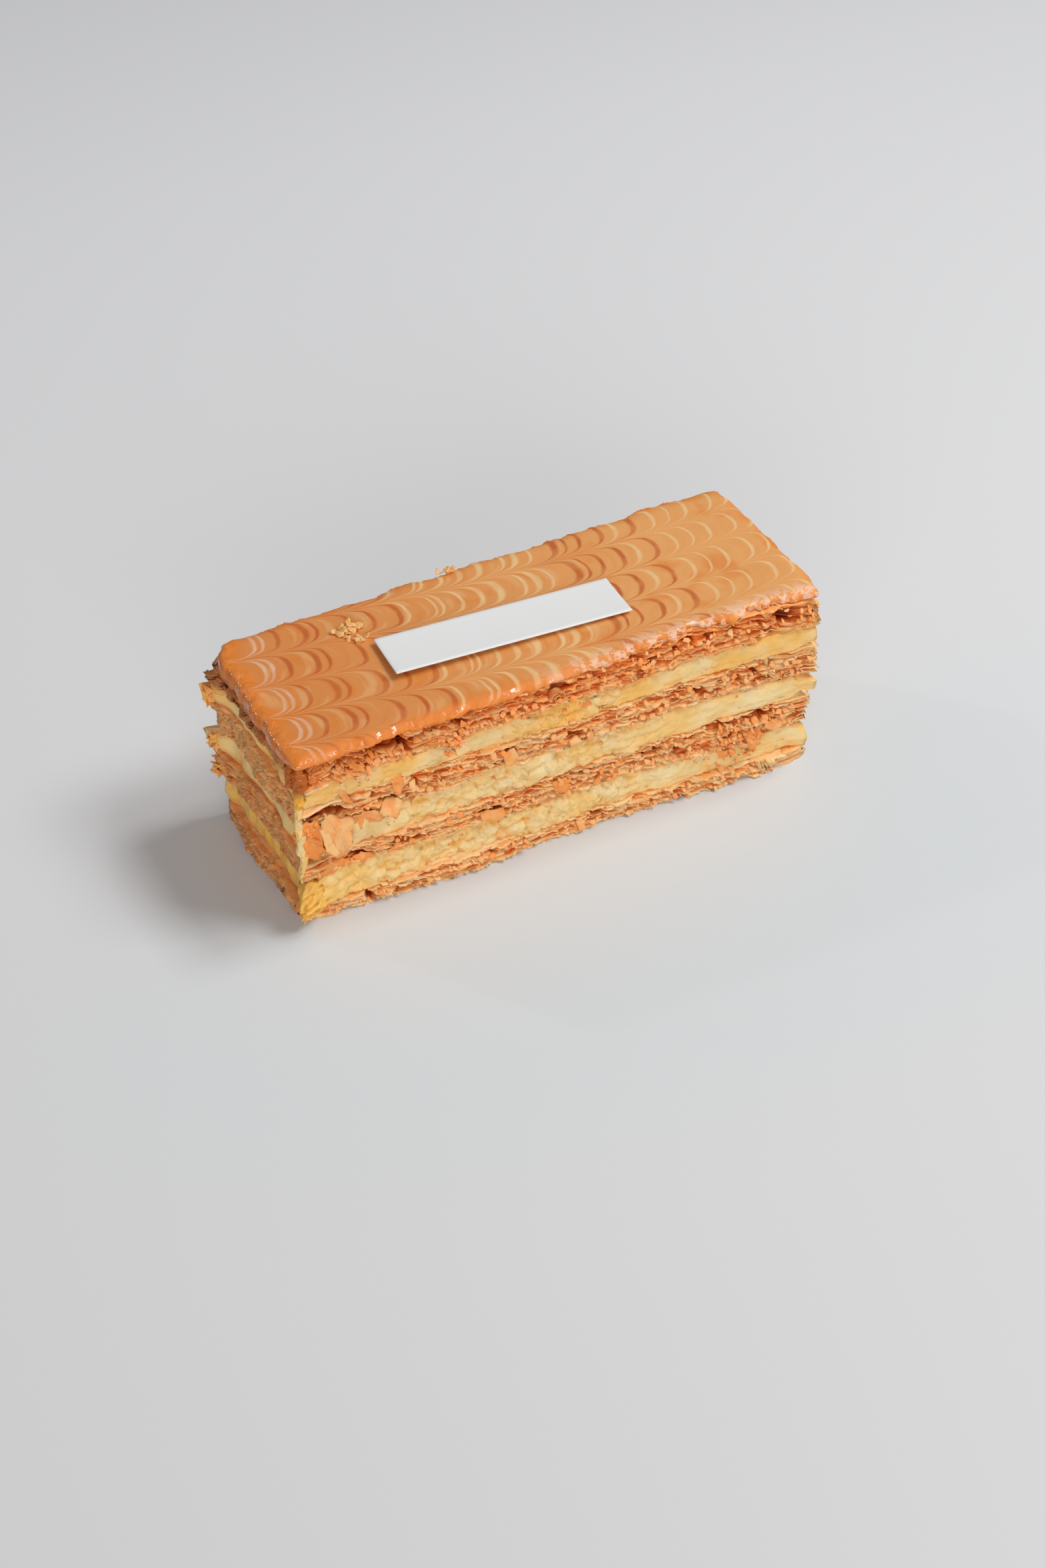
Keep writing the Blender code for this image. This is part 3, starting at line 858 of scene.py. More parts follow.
def icing_material(settings):
    soft = (0.25, 0.002, (1.0, 0.55, 0.25))
    material, tree, shader = new_material("feathered_icing", 0.28, 0.5, soft)
    feed(shader, "Coat Roughness", 0.07)
    at = object_place(tree)
    brim = attribute(tree, "brim")
    along, _, _ = separate(at)
    worn = remap(along * 1.5 + noise(at, 420.0, 4.0, 0.7), 0.36, 0.42)
    worn = worn * remap(brim, 0.55, 0.8)
    worn = worn * remap(brim, 1.05, 1.0)
    side = remap(brim, 1.08, 1.18)
    glint = remap(noise(at, 300.0, 3.0, 0.6), 0.48, 0.54)
    dull = side * (1.0 - glint)
    worn = calc("MAXIMUM", worn, dull * 0.85)
    feed(shader, "Coat Weight", worn * -0.83 + 0.85)
    feed(shader, "Roughness", worn * 0.36 + 0.28)
    feed(shader, "Base Color", feathered_colour(tree, at, settings))
    ripple = noise(at, 420.0, 2.0) * 0.35 + noise(at, 150.0, 2.0)
    ripple = noise(at, 560.0, 3.0, 0.6) * remap(brim, 0.7, 1.0) * 1.3 + ripple
    bumped(shader, ripple, remap(brim, 0.8, 1.1, 0.3, 0.8), 0.6 * MM)
    return material


def syrup_material(settings):
    """Burnt syrup above, clearer and more golden where it ran down."""
    material, tree, shader = new_material("syrup", 0.2, 0.35, (0.3, 0.0015))
    at = object_place(tree)
    patch = noise(at, 420.0, 3.0, 0.6)
    height = (patch - 0.5) * (4 * MM) + separate(at)[2]
    colour = blend(remap(height, 33.5 * MM, 36.5 * MM), settings.golden_syrup, settings.burnt_syrup)
    feed(shader, "Base Color", colour)
    bumped(shader, patch, 0.5, 0.4 * MM)
    return material


def card_material(settings):
    material, tree, shader = new_material("card_stock", 0.55, 0.4)
    at = object_place(tree)
    fibre = noise(vector("MULTIPLY", at, (900.0, 2600.0, 900.0)), 1.0, 3.0)
    colour = blend(fibre * 0.15, settings.paper, (0.74, 0.74, 0.72))
    feed(shader, "Base Color", colour)
    bumped(shader, fibre, 0.08, 0.05 * MM)
    return material


def flake_material(settings):
    """Loose flakes: thinner than the stacked leaves, so more light comes through them."""
    soft = (0.15, 0.0005, (1.0, 0.7, 0.5))
    material, tree, shader = new_material("loose_flakes", 0.5, 0.4, soft)
    at = object_place(tree)
    patch = noise(at, 330.0, 3.0, 0.6)
    tint = attribute(tree, "tint")
    share = calc("ADD", tint, (patch - 0.5) * 2.2, clamp=True)
    colour = blend(share, settings.flake_pale, settings.flake_amber)
    colour = blend(remap(tint, -0.5, -1.0), colour, settings.flake_yolk)
    feed(shader, "Base Color", colour)
    bumped(shader, noise(at, 1400.0, 3.0), 0.4, 0.2 * MM)
    return material


# Pieces.


# The front's crevices in each sheet, as (x, z, half length, half height, slope, depth) in millimetres.
CREVICES = {
    "pastry_1": (
        (-56.5, 3.0, 2.2, 0.7, -0.3, 1.8),
        (-46.0, 1.9, 1.4, 1.0, -0.8, 2.0),
        (-38.0, 1.4, 2.6, 0.8, 0.0, 1.8),
        (-17.5, 2.9, 1.0, 0.5, 0.0, 1.6),
        (8.0, 3.0, 1.9, 0.8, -0.2, 1.8),
        (28.0, 0.6, 2.0, 0.5, 0.0, 1.6),
        (54.5, 2.8, 1.8, 0.7, -0.3, 1.5),
    ),
    "pastry_2": (
        (-57.0, 14.4, 2.6, 0.6, 0.0, 1.6),
        (-46.5, 13.6, 4.0, 0.55, -0.3, 1.9),
        (-37.5, 14.0, 4.4, 0.7, -0.2, 2.2),
        (-17.5, 13.9, 3.2, 0.6, 0.0, 1.8),
        (2.5, 16.4, 4.2, 0.5, -0.25, 2.2),
        (8.0, 13.9, 1.4, 0.4, 0.2, 1.6),
        (21.0, 15.0, 3.4, 0.5, -0.1, 2.0),
        (27.8, 13.2, 1.3, 1.0, 0.0, 2.8),
        (30.5, 15.5, 1.8, 0.6, -0.3, 2.0),
        (39.5, 16.5, 5.0, 0.9, -0.05, 3.0),
        (46.8, 16.0, 4.4, 0.8, -0.15, 2.8),
        (40.0, 12.6, 2.6, 0.6, 0.1, 1.8),
    ),
    "pastry_3": (
        (-52.6, 27.5, 3.2, 0.9, -0.45, 2.4),
        (-43.6, 27.7, 1.4, 0.5, 0.0, 1.6),
        (-41.0, 26.1, 2.4, 0.35, -0.1, 1.8),
        (-34.8, 27.6, 1.0, 0.9, 0.0, 2.0),
        (-30.2, 28.1, 0.9, 0.5, 0.0, 1.8),
        (-13.6, 28.7, 2.0, 0.7, 0.2, 2.0),
        (2.0, 27.4, 2.4, 0.5, -0.1, 1.8),
        (32.6, 27.3, 1.9, 0.7, -0.1, 2.6),
        (41.6, 27.1, 1.8, 0.6, -0.25, 2.2),
        (46.0, 27.9, 1.2, 0.5, 0.0, 1.8),
        (56.0, 27.8, 1.2, 0.7, -0.3, 1.8),
    ),
    "pastry_4": (
        (-54.2, 40.8, 4.4, 0.9, -0.1, 2.4),
        (-48.2, 40.0, 2.6, 0.8, 0.0, 2.4),
        (-40.8, 40.3, 4.4, 1.6, -0.05, 3.4),
        (-36.8, 38.0, 1.6, 1.0, -0.6, 2.0),
        (-27.0, 41.2, 5.6, 0.6, 0.0, 2.4),
        (-24.5, 39.6, 2.4, 0.8, -0.6, 1.8),
        (-18.5, 41.3, 5.6, 0.6, 0.02, 2.4),
        (-11.0, 43.9, 3.6, 0.4, -0.1, 1.8),
        (-2.4, 41.0, 5.2, 0.75, 0.05, 2.6),
        (6.0, 41.5, 1.8, 0.5, 0.0, 1.8),
        (15.0, 42.4, 3.2, 0.6, 0.1, 2.2),
        (20.5, 40.3, 1.6, 1.0, 0.2, 2.2),
        (25.0, 40.7, 2.0, 0.5, -0.2, 1.8),
        (28.8, 41.4, 1.7, 0.7, 0.3, 2.2),
        (34.2, 41.3, 1.6, 0.4, 0.0, 1.8),
        (39.0, 41.3, 1.6, 0.6, 0.0, 1.8),
        (46.0, 40.8, 1.0, 0.9, 0.3, 2.0),
        (51.3, 40.6, 1.7, 1.7, -0.2, 3.2),
    ),
}
TORN_STRETCHES = {"custard_1": (-66, 20), "custard_2": (-42, 26), "custard_3": (-14, 14)}


def build_sheet(number, settings, leaf_band, core_band, material):
    node = SHEETS[number]
    solid = frame["nodes"][node]
    leaf_values = {
        "Layer": solid,
        "Leaves": settings.leaves - (5 if number == 0 else 0),
        "Thickness": settings.leaf_thickness,
        "Tear": settings.tear,
        "Curl": settings.curl,
        "Seed": 1.7 * (number + 1),
        "Material": material,
    }
    leaves = run_tree(leaf_band, leaf_stack_tree(CREVICES[node]), leaf_values)
    core_values = {"Layer": solid, "Set In": settings.core_depth, "Material": material}
    return [leaves, run_tree(core_band, core_tree(CREVICES[node]), core_values)]


def build_custard(node, settings, tree, wall_band, material):
    torn_from, torn_to = TORN_STRETCHES[node]
    values = {
        "Layer": frame["nodes"][node],
        "Torn From": torn_from * MM,
        "Torn To": torn_to * MM,
        "Lumps": settings.lumps,
        "Smears": settings.smears,
        "Material": material,
    }
    return run_tree(wall_band, tree, values)


def discard(*objects):
    for obj in objects:
        mesh = obj.data
        bpy.data.objects.remove(obj, do_unlink=True)
        bpy.data.meshes.remove(mesh)


def colour_property(name, description, value):
    return FloatVectorProperty(
        name=name, description=description, default=value, subtype="COLOR", size=3, min=0.0, max=1.0
    )


def power_property(name, description, value):
    return FloatProperty(name=name, description=description, default=value, unit="POWER")


def length_property(name, description, value):
    return FloatProperty(name=name, description=description, default=value, unit="LENGTH", precision=5)


class PastrySettings(bpy.types.PropertyGroup):
    leaves: IntProperty(name="Leaves", description="Leaves in each thick sheet", default=15, min=8, max=18)
    leaf_thickness: length_property("Leaf thickness", "Thickness of one leaf near its edge", 0.3 * MM)
    tear: length_property("Tear", "How far a leaf's edge may be torn back from the cut", 1.35 * MM)
    curl: length_property("Curl", "How far a leaf's edge bends up or down", 1.5 * MM)
    core_depth: length_property("Core depth", "Depth at which the leaves close up behind the cut", 1.5 * MM)
    pale: colour_property("Pale", "Inside of a leaf", (0.96, 0.60, 0.26))
    golden: colour_property("Golden", "Baked face of a leaf", (0.95, 0.43, 0.12))
    toasted: colour_property("Toasted", "Darker baked patches", (0.88, 0.26, 0.045))
    # Painted shade: the warm dark colour a little way in between the leaves.
    ember: colour_property("Ember", "A little way in between the leaves", (0.80, 0.17, 0.012))
    deep: colour_property("Deep", "Between the leaves, where little light comes", (0.30, 0.03, 0.003))
    # Painted light on the outermost leaf edges.
    crisp: colour_property("Crisp", "Very edges of the leaves", (1.0, 0.74, 0.42))
    # Crumb colours of the left end, with painted shade: darker towards the bottom and warmer.
    end_low: colour_property("End low", "Crumb low on the left end", (0.84, 0.34, 0.11))
    end_high: colour_property("End high", "Crumb high on the left end", (0.98, 0.50, 0.18))
    # Partly the crust's toasting, partly painted shade under the icing's overhang.
    burnt_end: colour_property("Burnt end", "The crust's left end", (0.50, 0.14, 0.035))
    # Painted shade in the crumb's small holes.
    pore: colour_property("Pore", "Small holes in the crumb of the left end", (0.46, 0.13, 0.03))
    flake_pale: colour_property("Flake pale", "Thin loose flakes", (0.87, 0.48, 0.19))
    flake_amber: colour_property("Flake amber", "Sugary loose flakes", (0.87, 0.29, 0.055))
    flake_yolk: colour_property("Flake yolk", "Loose scraps coated in custard", (0.87, 0.45, 0.10))


class CustardSettings(bpy.types.PropertyGroup):
    lumps: length_property("Lumps", "Height of the lumps where the cut is torn", 1.3 * MM)
    smears: length_property("Smears", "Height of the long smears on the cut", 0.5 * MM)
    custard_pale: colour_property("Pale", "Custard in the light", (0.85, 0.66, 0.34))
    custard_deep: colour_property("Deep", "Denser custard", (0.86, 0.535, 0.165))
    # Painted shade in holes and tears, also a deeper yellow tone in the upper custard and the corner blob.
    custard_hollow: colour_property("Hollow", "Inside holes and tears", (0.87, 0.43, 0.06))
    yolk: colour_property("Yolk", "Custard smeared at the front-left foot", (0.90, 0.50, 0.085))
    soaked: colour_property("Soaked", "Custard drawn into the sheets", (0.89, 0.48, 0.15))
    crumb: colour_property("Crumb", "Crumb that the knife dragged over the ends", (0.80, 0.40, 0.14))


class IcingSettings(bpy.types.PropertyGroup):
    drag: FloatProperty(name="Drag", description="Pull of the feathering, in millimetres", default=6.0)
    ground_left: colour_property("Ground left", "Icing at the left end", (0.73, 0.25, 0.055))
    ground_right: colour_property("Ground right", "Icing at the right end", (0.84, 0.38, 0.115))
    amber: colour_property("Amber", "Patches where the glaze lies thick", (0.76, 0.21, 0.014))
    thick_rim: colour_property("Thick rim", "Icing that ran over the left end", (0.56, 0.15, 0.015))
    caramel: colour_property("Caramel", "Dark lines", (0.56, 0.11, 0.012))
    cream: colour_property("Cream", "Pale lines", (0.88, 0.58, 0.27))
    blush: colour_property("Blush", "Pinkish white lines at the left end", (0.82, 0.50, 0.32))
    # Partly a real sugar crust, partly a painted highlight on the front rim.
    frost: colour_property("Frost", "Pinkish sugar crust at the front rim", (0.87, 0.55, 0.38))
    golden_syrup: colour_property("Golden syrup", "Thin syrup at the corner", (0.86, 0.42, 0.05))
    burnt_syrup: colour_property("Burnt syrup", "Dark syrup at the corner", (0.45, 0.11, 0.010))


class CardSettings(bpy.types.PropertyGroup):
    paper: colour_property("Paper", "The card's face", (0.80, 0.80, 0.79))


class StageSettings(bpy.types.PropertyGroup):
    # The two floor colours paint shade: darker near the camera, lighter behind the slice.
    floor: colour_property("Floor", "Seamless floor near the camera", (0.68, 0.68, 0.68))
    floor_far: colour_property("Floor far", "Seamless floor behind the slice", (0.82, 0.82, 0.83))
    front: power_property("Front", "Power of the wide light near the camera", 15.0)
    key: power_property("Key", "Power of the light ahead and to the right", 6.0)
    side: power_property("Side", "Power of the light over the right end", 3.2)
    back: power_property("Back", "Power of the small light behind the left end", 0.5)
    sky: FloatProperty(name="Sky", description="Strength of the even light from all round", default=0.2)
    lens: FloatProperty(name="Lens", description="Focal length", default=52.96, unit="CAMERA")


class BuildSheets(bpy.types.Operator):
    """Builds the flaky pastry sheets from torn leaves round a solid core"""

    bl_idname = "mille_feuille.sheets"
    bl_label = "Pastry Sheets"

    def execute(self, context):
        settings = context.scene.mille_feuille_pastry
        material = pastry_material(settings)
        loop = [(0.25, 0.0), (0.78, -1.0), (0.92, -1.0), (1.0, 0.0), (0.92, 1.0), (0.78, 1.0)]
        leaf_band = band("leaf_band", loop, closed=True)
        core_band = band("core_band", wall_section(14), caps=True)
        kit = chip_kit()
        chips = []
        for index, node in enumerate(SHEETS):
            chips.append(scatter(kit, scatter_tree(CREVICES[node]), node, Seed=index + 2, Material=material))
        remove_kit(kit)
        for number, node in enumerate(SHEETS):
            meshes = build_sheet(number, settings, leaf_band, core_band, material)
            finished_piece(f"sheet_{number + 1}", meshes, material, (node,))
        finished_piece("pastry_chips", chips, material)
        discard(leaf_band, core_band)
        return {"FINISHED"}


class BuildCustard(bpy.types.Operator):
    """Builds the custard layers with their torn cut faces"""

    bl_idname = "mille_feuille.custard"
    bl_label = "Custard Layers"

    def execute(self, context):
        settings = context.scene.mille_feuille_custard
        material = custard_material(settings)
        tree = custard_tree()
        wall_band = band("custard_band", wall_section(26), caps=True)
        for number, node in enumerate(CUSTARDS):
            mesh = build_custard(node, settings, tree, wall_band, material)
            finished_piece(f"filling_{number + 1}", [mesh], material, (node,))
        discard(wall_band)
        return {"FINISHED"}


def icing_tree():
    """The poured icing: a smooth top, a rounded rim that wanders, and runs that hang over the crust."""
    tree, given = geometry_tree(
        "poured icing", Layer="Object", Runs=1.3 * MM, Waver=3.6 * MM, Swell=0.35 * MM, Shoulder=-0.9 * MM
    )
    layer = layer_shape(tree, given)
    at, level, reach, outward = band_reads(tree)
    height, edge = fit_to_cut(tree, layer, at, level, ray_level=0.35)
    sway = noise(at, 210.0, 4.0, 0.7) - 0.5
    rim = reach ** 5.0
    away = reach * edge
    away = away + sway * given["Waver"] * rim
    px, _, _ = separate(at)
    facing = separate(outward)
    front = remap(facing[1], -0.3, -0.9) * remap(px, 5 * MM, 30 * MM)
    bay = remap(noise(at, 130.0, 4.0, 0.7), 0.44, 0.58, smooth=True)
    away = front * bay * rim * (-2.6 * MM) + away
    run = remap(noise(at, 150.0, 2.0), 0.47, 0.68, smooth=True)
    lip = remap(level, 0.4, 0.0) * rim
    fall = run * lip * given["Runs"]
    over = remap(facing[0], -0.4, -0.9) * rim
    fall = over * remap(level, 0.6, 0.0) * (0.9 * MM) + fall
    away = over * (0.7 * MM) + away
    x, y, _ = separate(moved_by(at, outward, away))
    top = noise(combine(x, y, 0.0), 95.0, 1.0) - 0.5
    rise = top * given["Swell"] * remap(level, 0.5, 1.0)
    z = height - fall + rise
    shoulder = remap(reach, 0.66, 1.0) * remap(level, 0.3, 1.0)
    shoulder = shoulder * (over * -0.3 + 1.0)
    z = shoulder * shoulder * given["Shoulder"] + z
    swollen = remap(reach, 0.7, 0.9, smooth=True) * remap(level, 0.5, 1.0)
    swollen = swollen * remap(facing[0], -0.4, -0.9)
    z = swollen * remap(noise(at, 130.0, 2.0), 0.35, 0.6) * (0.55 * MM) + z
    left = remap(facing[0], -0.5, -0.9, 0.0, 0.22)
    kept = store(tree, given["Geometry"], "brim", reach + left)
    return end_tree(tree, place_points(tree, kept, position=combine(x, y, z)), given)


# The icing's section, as (reach, level).
ICING_SECTION = (
    (0.0, 0.0), (0.8, 0.0), (0.93, 0.0), (0.985, 0.06), (1.0, 0.25), (0.998, 0.45), (0.985, 0.65),
    (0.96, 0.82), (0.92, 0.93), (0.86, 0.985), (0.76, 1.0), (0.6, 1.0), (0.4, 1.0), (0.2, 1.0),
    (0.0, 1.0), (-0.15, 1.0), (-0.3, 1.0), (-0.45, 1.0), (-0.6, 1.0), (-0.75, 1.0), (-0.92, 1.0),
)


# The large flakes on the front, as (outline in x and z, foot stand-off, tint from 0 pale pink to 1 orange).
LARGE_FLAKES = (
    (((-61.4, 24.5), (-60.5, 27.0), (-57.5, 27.6), (-56.2, 25.5), (-56.4, 20.6), (-54.8, 18.6), (-57.2, 16.9),
      (-59.8, 17.8), (-61.0, 20.5)), 0.6, 1.25),
    (((-56.4, 25.3), (-55.2, 28.2), (-54.0, 27.4), (-52.0, 25.8), (-49.2, 25.2), (-49.0, 24.0), (-50.0, 21.0),
      (-51.0, 18.5), (-52.3, 16.3), (-53.5, 17.6), (-55.6, 19.5), (-56.3, 22.0)), 1.3, 0.35),
    (((-56.8, 25.0), (-55.3, 25.4), (-54.6, 22.0), (-53.6, 19.2), (-54.4, 18.6), (-56.2, 20.2),
      (-56.4, 22.5)), 1.7, 0.0),
    (((-49.5, 24.8), (-46.5, 25.0), (-43.5, 24.6), (-42.5, 23.0), (-44.0, 21.6), (-47.0, 20.6), (-49.5, 20.2),
      (-50.2, 22.0)), 0.2, 0.7),
    (((-43.7, 24.6), (-42.5, 26.0), (-41.0, 26.5), (-39.2, 26.1), (-38.2, 25.0), (-38.8, 23.2), (-40.2, 22.4),
      (-42.0, 23.4), (-43.2, 23.6)), 0.7, 0.25),
    (((-40.4, 31.4), (-38.2, 31.8), (-37.8, 30.0), (-38.8, 26.8), (-39.6, 27.4), (-40.2, 29.0)), 0.6, 1.0),
    (((-52.2, 32.2), (-50.6, 32.8), (-49.4, 29.4), (-48.8, 28.4), (-50.6, 29.2)), 0.5, 0.85),
    (((-56.8, 13.6), (-53.0, 14.6), (-50.0, 13.8), (-50.4, 11.8), (-53.6, 10.8), (-56.6, 11.6)), 0.0, 0.9),
    (((-50.2, 13.8), (-47.6, 14.4), (-44.8, 13.4), (-45.0, 11.8), (-47.4, 10.4), (-50.4, 11.0)), 0.0, 0.8),
    (((-42.2, 13.2), (-38.6, 13.6), (-38.0, 12.6), (-41.6, 11.8)), 0.1, 1.0),
    (((-20.4, 14.2), (-15.0, 14.0), (-14.6, 12.0), (-17.6, 11.4), (-20.4, 12.6)), 0.4, 0.6),
    (((-15.6, 28.8), (-12.6, 29.0), (-11.8, 27.2), (-13.2, 25.8), (-15.2, 26.0)), 0.4, 0.5),
    (((-3.4, 16.2), (0.0, 16.0), (0.8, 13.6), (-1.0, 12.8), (-3.0, 13.6)), 0.5, 0.75),
    (((-0.4, 27.0), (2.0, 27.4), (3.2, 25.6), (1.8, 24.2), (-0.2, 25.0)), 0.7, 0.35),
    (((4.2, 27.4), (5.6, 27.6), (6.2, 24.4), (5.2, 23.8), (4.4, 25.2)), 0.3, 0.95),
    (((2.8, 34.9), (5.0, 35.2), (5.6, 33.8), (4.2, 33.2)), 0.1, 1.0),
    (((-10.0, 20.0), (-8.2, 21.4), (-7.2, 20.4), (-8.2, 19.2), (-9.6, 19.2)), 0.0, 0.95),
    (((44.4, 12.6), (48.2, 12.4), (48.6, 9.4), (46.6, 7.2), (44.4, 9.0)), 0.3, 0.8),
    (((37.6, 9.6), (39.4, 9.6), (39.8, 5.0), (39.2, 2.6), (38.2, 2.8), (37.6, 5.6)), 0.15, 1.0),
    (((49.0, 13.4), (52.8, 13.6), (53.6, 11.8), (51.4, 11.2), (49.0, 12.0)), 0.7, 0.5),
    (((2.4, 3.0), (4.6, 2.8), (4.4, 0.8), (2.8, 0.6)), 0.6, 0.3),
)

# Stretches of the front where small scraps cling, as (from x, to x, from z, to z, count, stand-off, tint).
SCRAP_STRETCHES = (
    (-60, -36, 35.8, 38.8, 46, 0.6, 0.8),
    (-53, -45, 36, 38.6, 10, 0.9, 0.9),
    (-30, -24, 34, 38.5, 16, 0.6, 0.95),
    (-15, -6, 35.8, 39, 14, 0.5, 0.85),
    (55, 60, 36.5, 42, 18, 0.6, 0.85),
    (54, 60, 24.5, 28, 12, 0.5, 0.8),
    (40, 49, 5.5, 12.5, 44, 0.45, 0.85),
    (37, 50, 12, 16.8, 30, 1.0, 0.7),
    (-61, -56.6, 18, 27, 16, 0.7, 1.0),
    (-36, -24, 37, 40, 12, 0.6, 0.6),
    (-24, 2, 36.5, 39.5, 22, 0.5, 0.65),
    (4, 56, 38, 43, 46, 0.7, 0.55),
    (10, 40, 36, 38, 16, 0.4, 0.8),
    (-36, -28, 25, 29, 12, 0.7, 0.35),
    (-28, 20, 25.5, 30, 26, 0.5, 0.5),
    (20, 58, 25.5, 30, 26, 0.5, 0.55),
    (-60, -30, 12.5, 16, 18, 0.4, 0.7),
    (-30, 20, 12, 16.5, 34, 0.5, 0.55),
    (20, 56, 11, 16.5, 36, 0.7, 0.5),
    (-58, 56, 0.8, 3.6, 46, 0.5, 0.45),
    (-58, 56, 6, 9.6, 14, 0.1, 0.9),
    (-40, 56, 19.5, 23, 12, 0.1, 0.9),
    (-54, 56, 32, 35, 9, 0.1, 0.9),
)


def solid_skin():
    """The slice's solids as one search tree, to lay the named flakes and smears on."""
    points = []
    faces = []
    for node in (*SHEETS, *CUSTARDS, "icing"):
        mesh = frame["nodes"][node].data
        start = len(points)
        points += [vertex.co.copy() for vertex in mesh.vertices]
        faces += [tuple(start + index for index in face.vertices) for face in mesh.polygons]
    return BVHTree.FromPolygons(points, faces)


def hit(skin, place, direction):
    found = skin.ray_cast(Vector(place), Vector(direction).normalized())[0]
    if found is None:
        raise RuntimeError(f"nothing to lie on at {tuple(place)}")
    return found


def front_face(skin):
    """A function that gives the y of the smoothed front cut at x and z, all in millimetres."""
    x0, x1, z1, pitch = -64.0, 64.0, 46.0, 0.5
    columns, rows = int((x1 - x0) / pitch) + 1, int(z1 / pitch) + 1
    raw = []
    for i in range(columns):
        column = []
        for j in range(rows):
            start = Vector((x0 + i * pitch, -60.0, min(max(j * pitch, 0.3), 45.0))) * MM
            found = skin.ray_cast(start, Vector((0, 1, 0)))[0]
            column.append(min(found.y / MM, -17.0) if found else -19.0)
        raw.append(column)

    def smooth(i, j):
        columns_near = [min(max(i + a, 0), columns - 1) for a in (-2, 0, 2)]
        rows_near = [min(max(j + b, 0), rows - 1) for b in (-2, 0, 2)]
        near = [raw[a][b] for a in columns_near for b in rows_near]
        return min(sum(near) / len(near), raw[i][j])

    field = [[smooth(i, j) for j in range(rows)] for i in range(columns)]

    def face(x, z):
        a = min(max((x - x0) / pitch, 0.0), columns - 1.001)
        b = min(max(z / pitch, 0.0), rows - 1.001)
        i, j = int(a), int(b)
        u, v = a - i, b - j
        low = field[i][j] * (1 - u) + field[i + 1][j] * u
        high = field[i][j + 1] * (1 - u) + field[i + 1][j + 1] * u
        return low * (1 - v) + high * v

    return face


def ragged(outline, draw, jag):
    """The outline with more corners, each pulled a little in or out."""
    count = len(outline)
    finer = []
    for index, (x, z) in enumerate(outline):
        nx, nz = outline[(index + 1) % count]
        steps = max(3, round(math.hypot(nx - x, nz - z) / 0.45))
        for step in range(steps):
            share = step / steps
            finer.append((x + (nx - x) * share, z + (nz - z) * share))
    middle = Vector((sum(p[0] for p in finer), sum(p[1] for p in finer))) / len(finer)
    phase = draw.uniform(0, 90)
    edge = []
    for p in finer:
        notch = noise_at(Vector((p[0] * 0.9 + phase, p[1] * 0.9, 0.0)))
        notch += 0.6 * noise_at(Vector((p[0] * 2.4, p[1] * 2.4, phase)))
        edge.append(middle + (Vector(p) - middle) * (1 + 1.9 * jag * notch + draw.gauss(0, jag * 0.4)))
    return middle, edge


def plate(parts, middle, outline, place, thick, tint, rings=5):
    """Adds a thin closed plate. The place function carries a point of the outline's plane into space."""
    points, faces, marks = parts
    start = len(points)
    count = len(outline)
    shares = [ring / rings for ring in range(1, rings + 1)]
    flat = [middle] + [middle + (p - middle) * share for share in shares for p in outline]
    step = 0.05
    for side in (1, -1):
        for index, p in enumerate(flat):
            here = place(p.x, p.y)
            normal = (place(p.x + step, p.y) - here).cross(place(p.x, p.y + step) - here).normalized()
            rim = index > count * (rings - 1)
            points.append(here + normal * (side * thick * (0.2 if rim else 0.5)))
            marks.append(tint + 0.45 * noise_at(Vector((p.x * 0.6, p.y * 0.6, 7.0))))
    size = len(flat)
    for j in range(count):
        k = (j + 1) % count
        faces.append((start, start + 1 + j, start + 1 + k))
        faces.append((start + size, start + size + 1 + k, start + size + 1 + j))
        for ring in range(rings - 1):
            one, two = start + 1 + ring * count + j, start + 1 + ring * count + k
            faces.append((one, one + count, two + count, two))
            faces.append((one + size, two + size, two + count + size, one + count + size))
        one, two = start + 1 + (rings - 1) * count + j, start + 1 + (rings - 1) * count + k
        faces.append((one, one + size, two + size, two))


def mesh_from_parts(name, parts):
    points, faces, marks = parts
    mesh = bpy.data.meshes.new(name)
    mesh.from_pydata(points, [], faces)
    tint = mesh.attributes.new("tint", "FLOAT", "POINT")
    tint.data.foreach_set("value", marks)
    return mesh


def hanging_flake(parts, face, draw, outline, stand_off, tint, jag, rings=5):
    """One ragged flake that is rooted in the cut at its top and hangs out in front of it."""
    middle, edge = ragged(outline, draw, jag)
    top = max(p.y for p in edge)
    drop = top - min(p.y for p in edge)
    half = (max(p.x for p in edge) - min(p.x for p in edge)) / 2
    seed = Vector((middle.x * 0.31, middle.y * 0.47, 3.0))
    twist = draw.uniform(-0.3, 0.3) * stand_off
    cup = draw.uniform(-0.4, 0.5) * min(1.0, half / 2) * stand_off

    def place(x, z):
        v = (top - z) / drop
        u = (x - middle.x) / half
        ridge = fractal(seed + Vector((x * 0.55, z * 0.22, 0.0)))
        out = -0.35 + (0.6 + stand_off) * min(1.0, max(0.0, v)) ** 0.6
        out += twist * u * v + cup * (u * u - 0.35) * v + ridge * (0.3 + 0.06 * half + 0.15 * stand_off)
        return Vector((x, face(x, z) - out, max(0.12, z))) * MM

    plate(parts, middle, edge, place, draw.uniform(0.14, 0.24) * MM, tint, rings)


def scrap_outline(x, z, width, drop, draw):
    corners = draw.randint(5, 8)
    turn = draw.uniform(0, math.tau)
    angles = [turn + math.tau * (i + draw.uniform(-0.3, 0.3)) / corners for i in range(corners)]
    sizes = [draw.uniform(0.45, 1.0) for _ in angles]
    return [(x + math.cos(a) * s * width / 2, z + math.sin(a) * s * drop / 2) for a, s in zip(angles, sizes)]


def fractal(at):
    return noise_at(at) + 0.5 * noise_at(at * 2.3) + 0.25 * noise_at(at * 5.1)


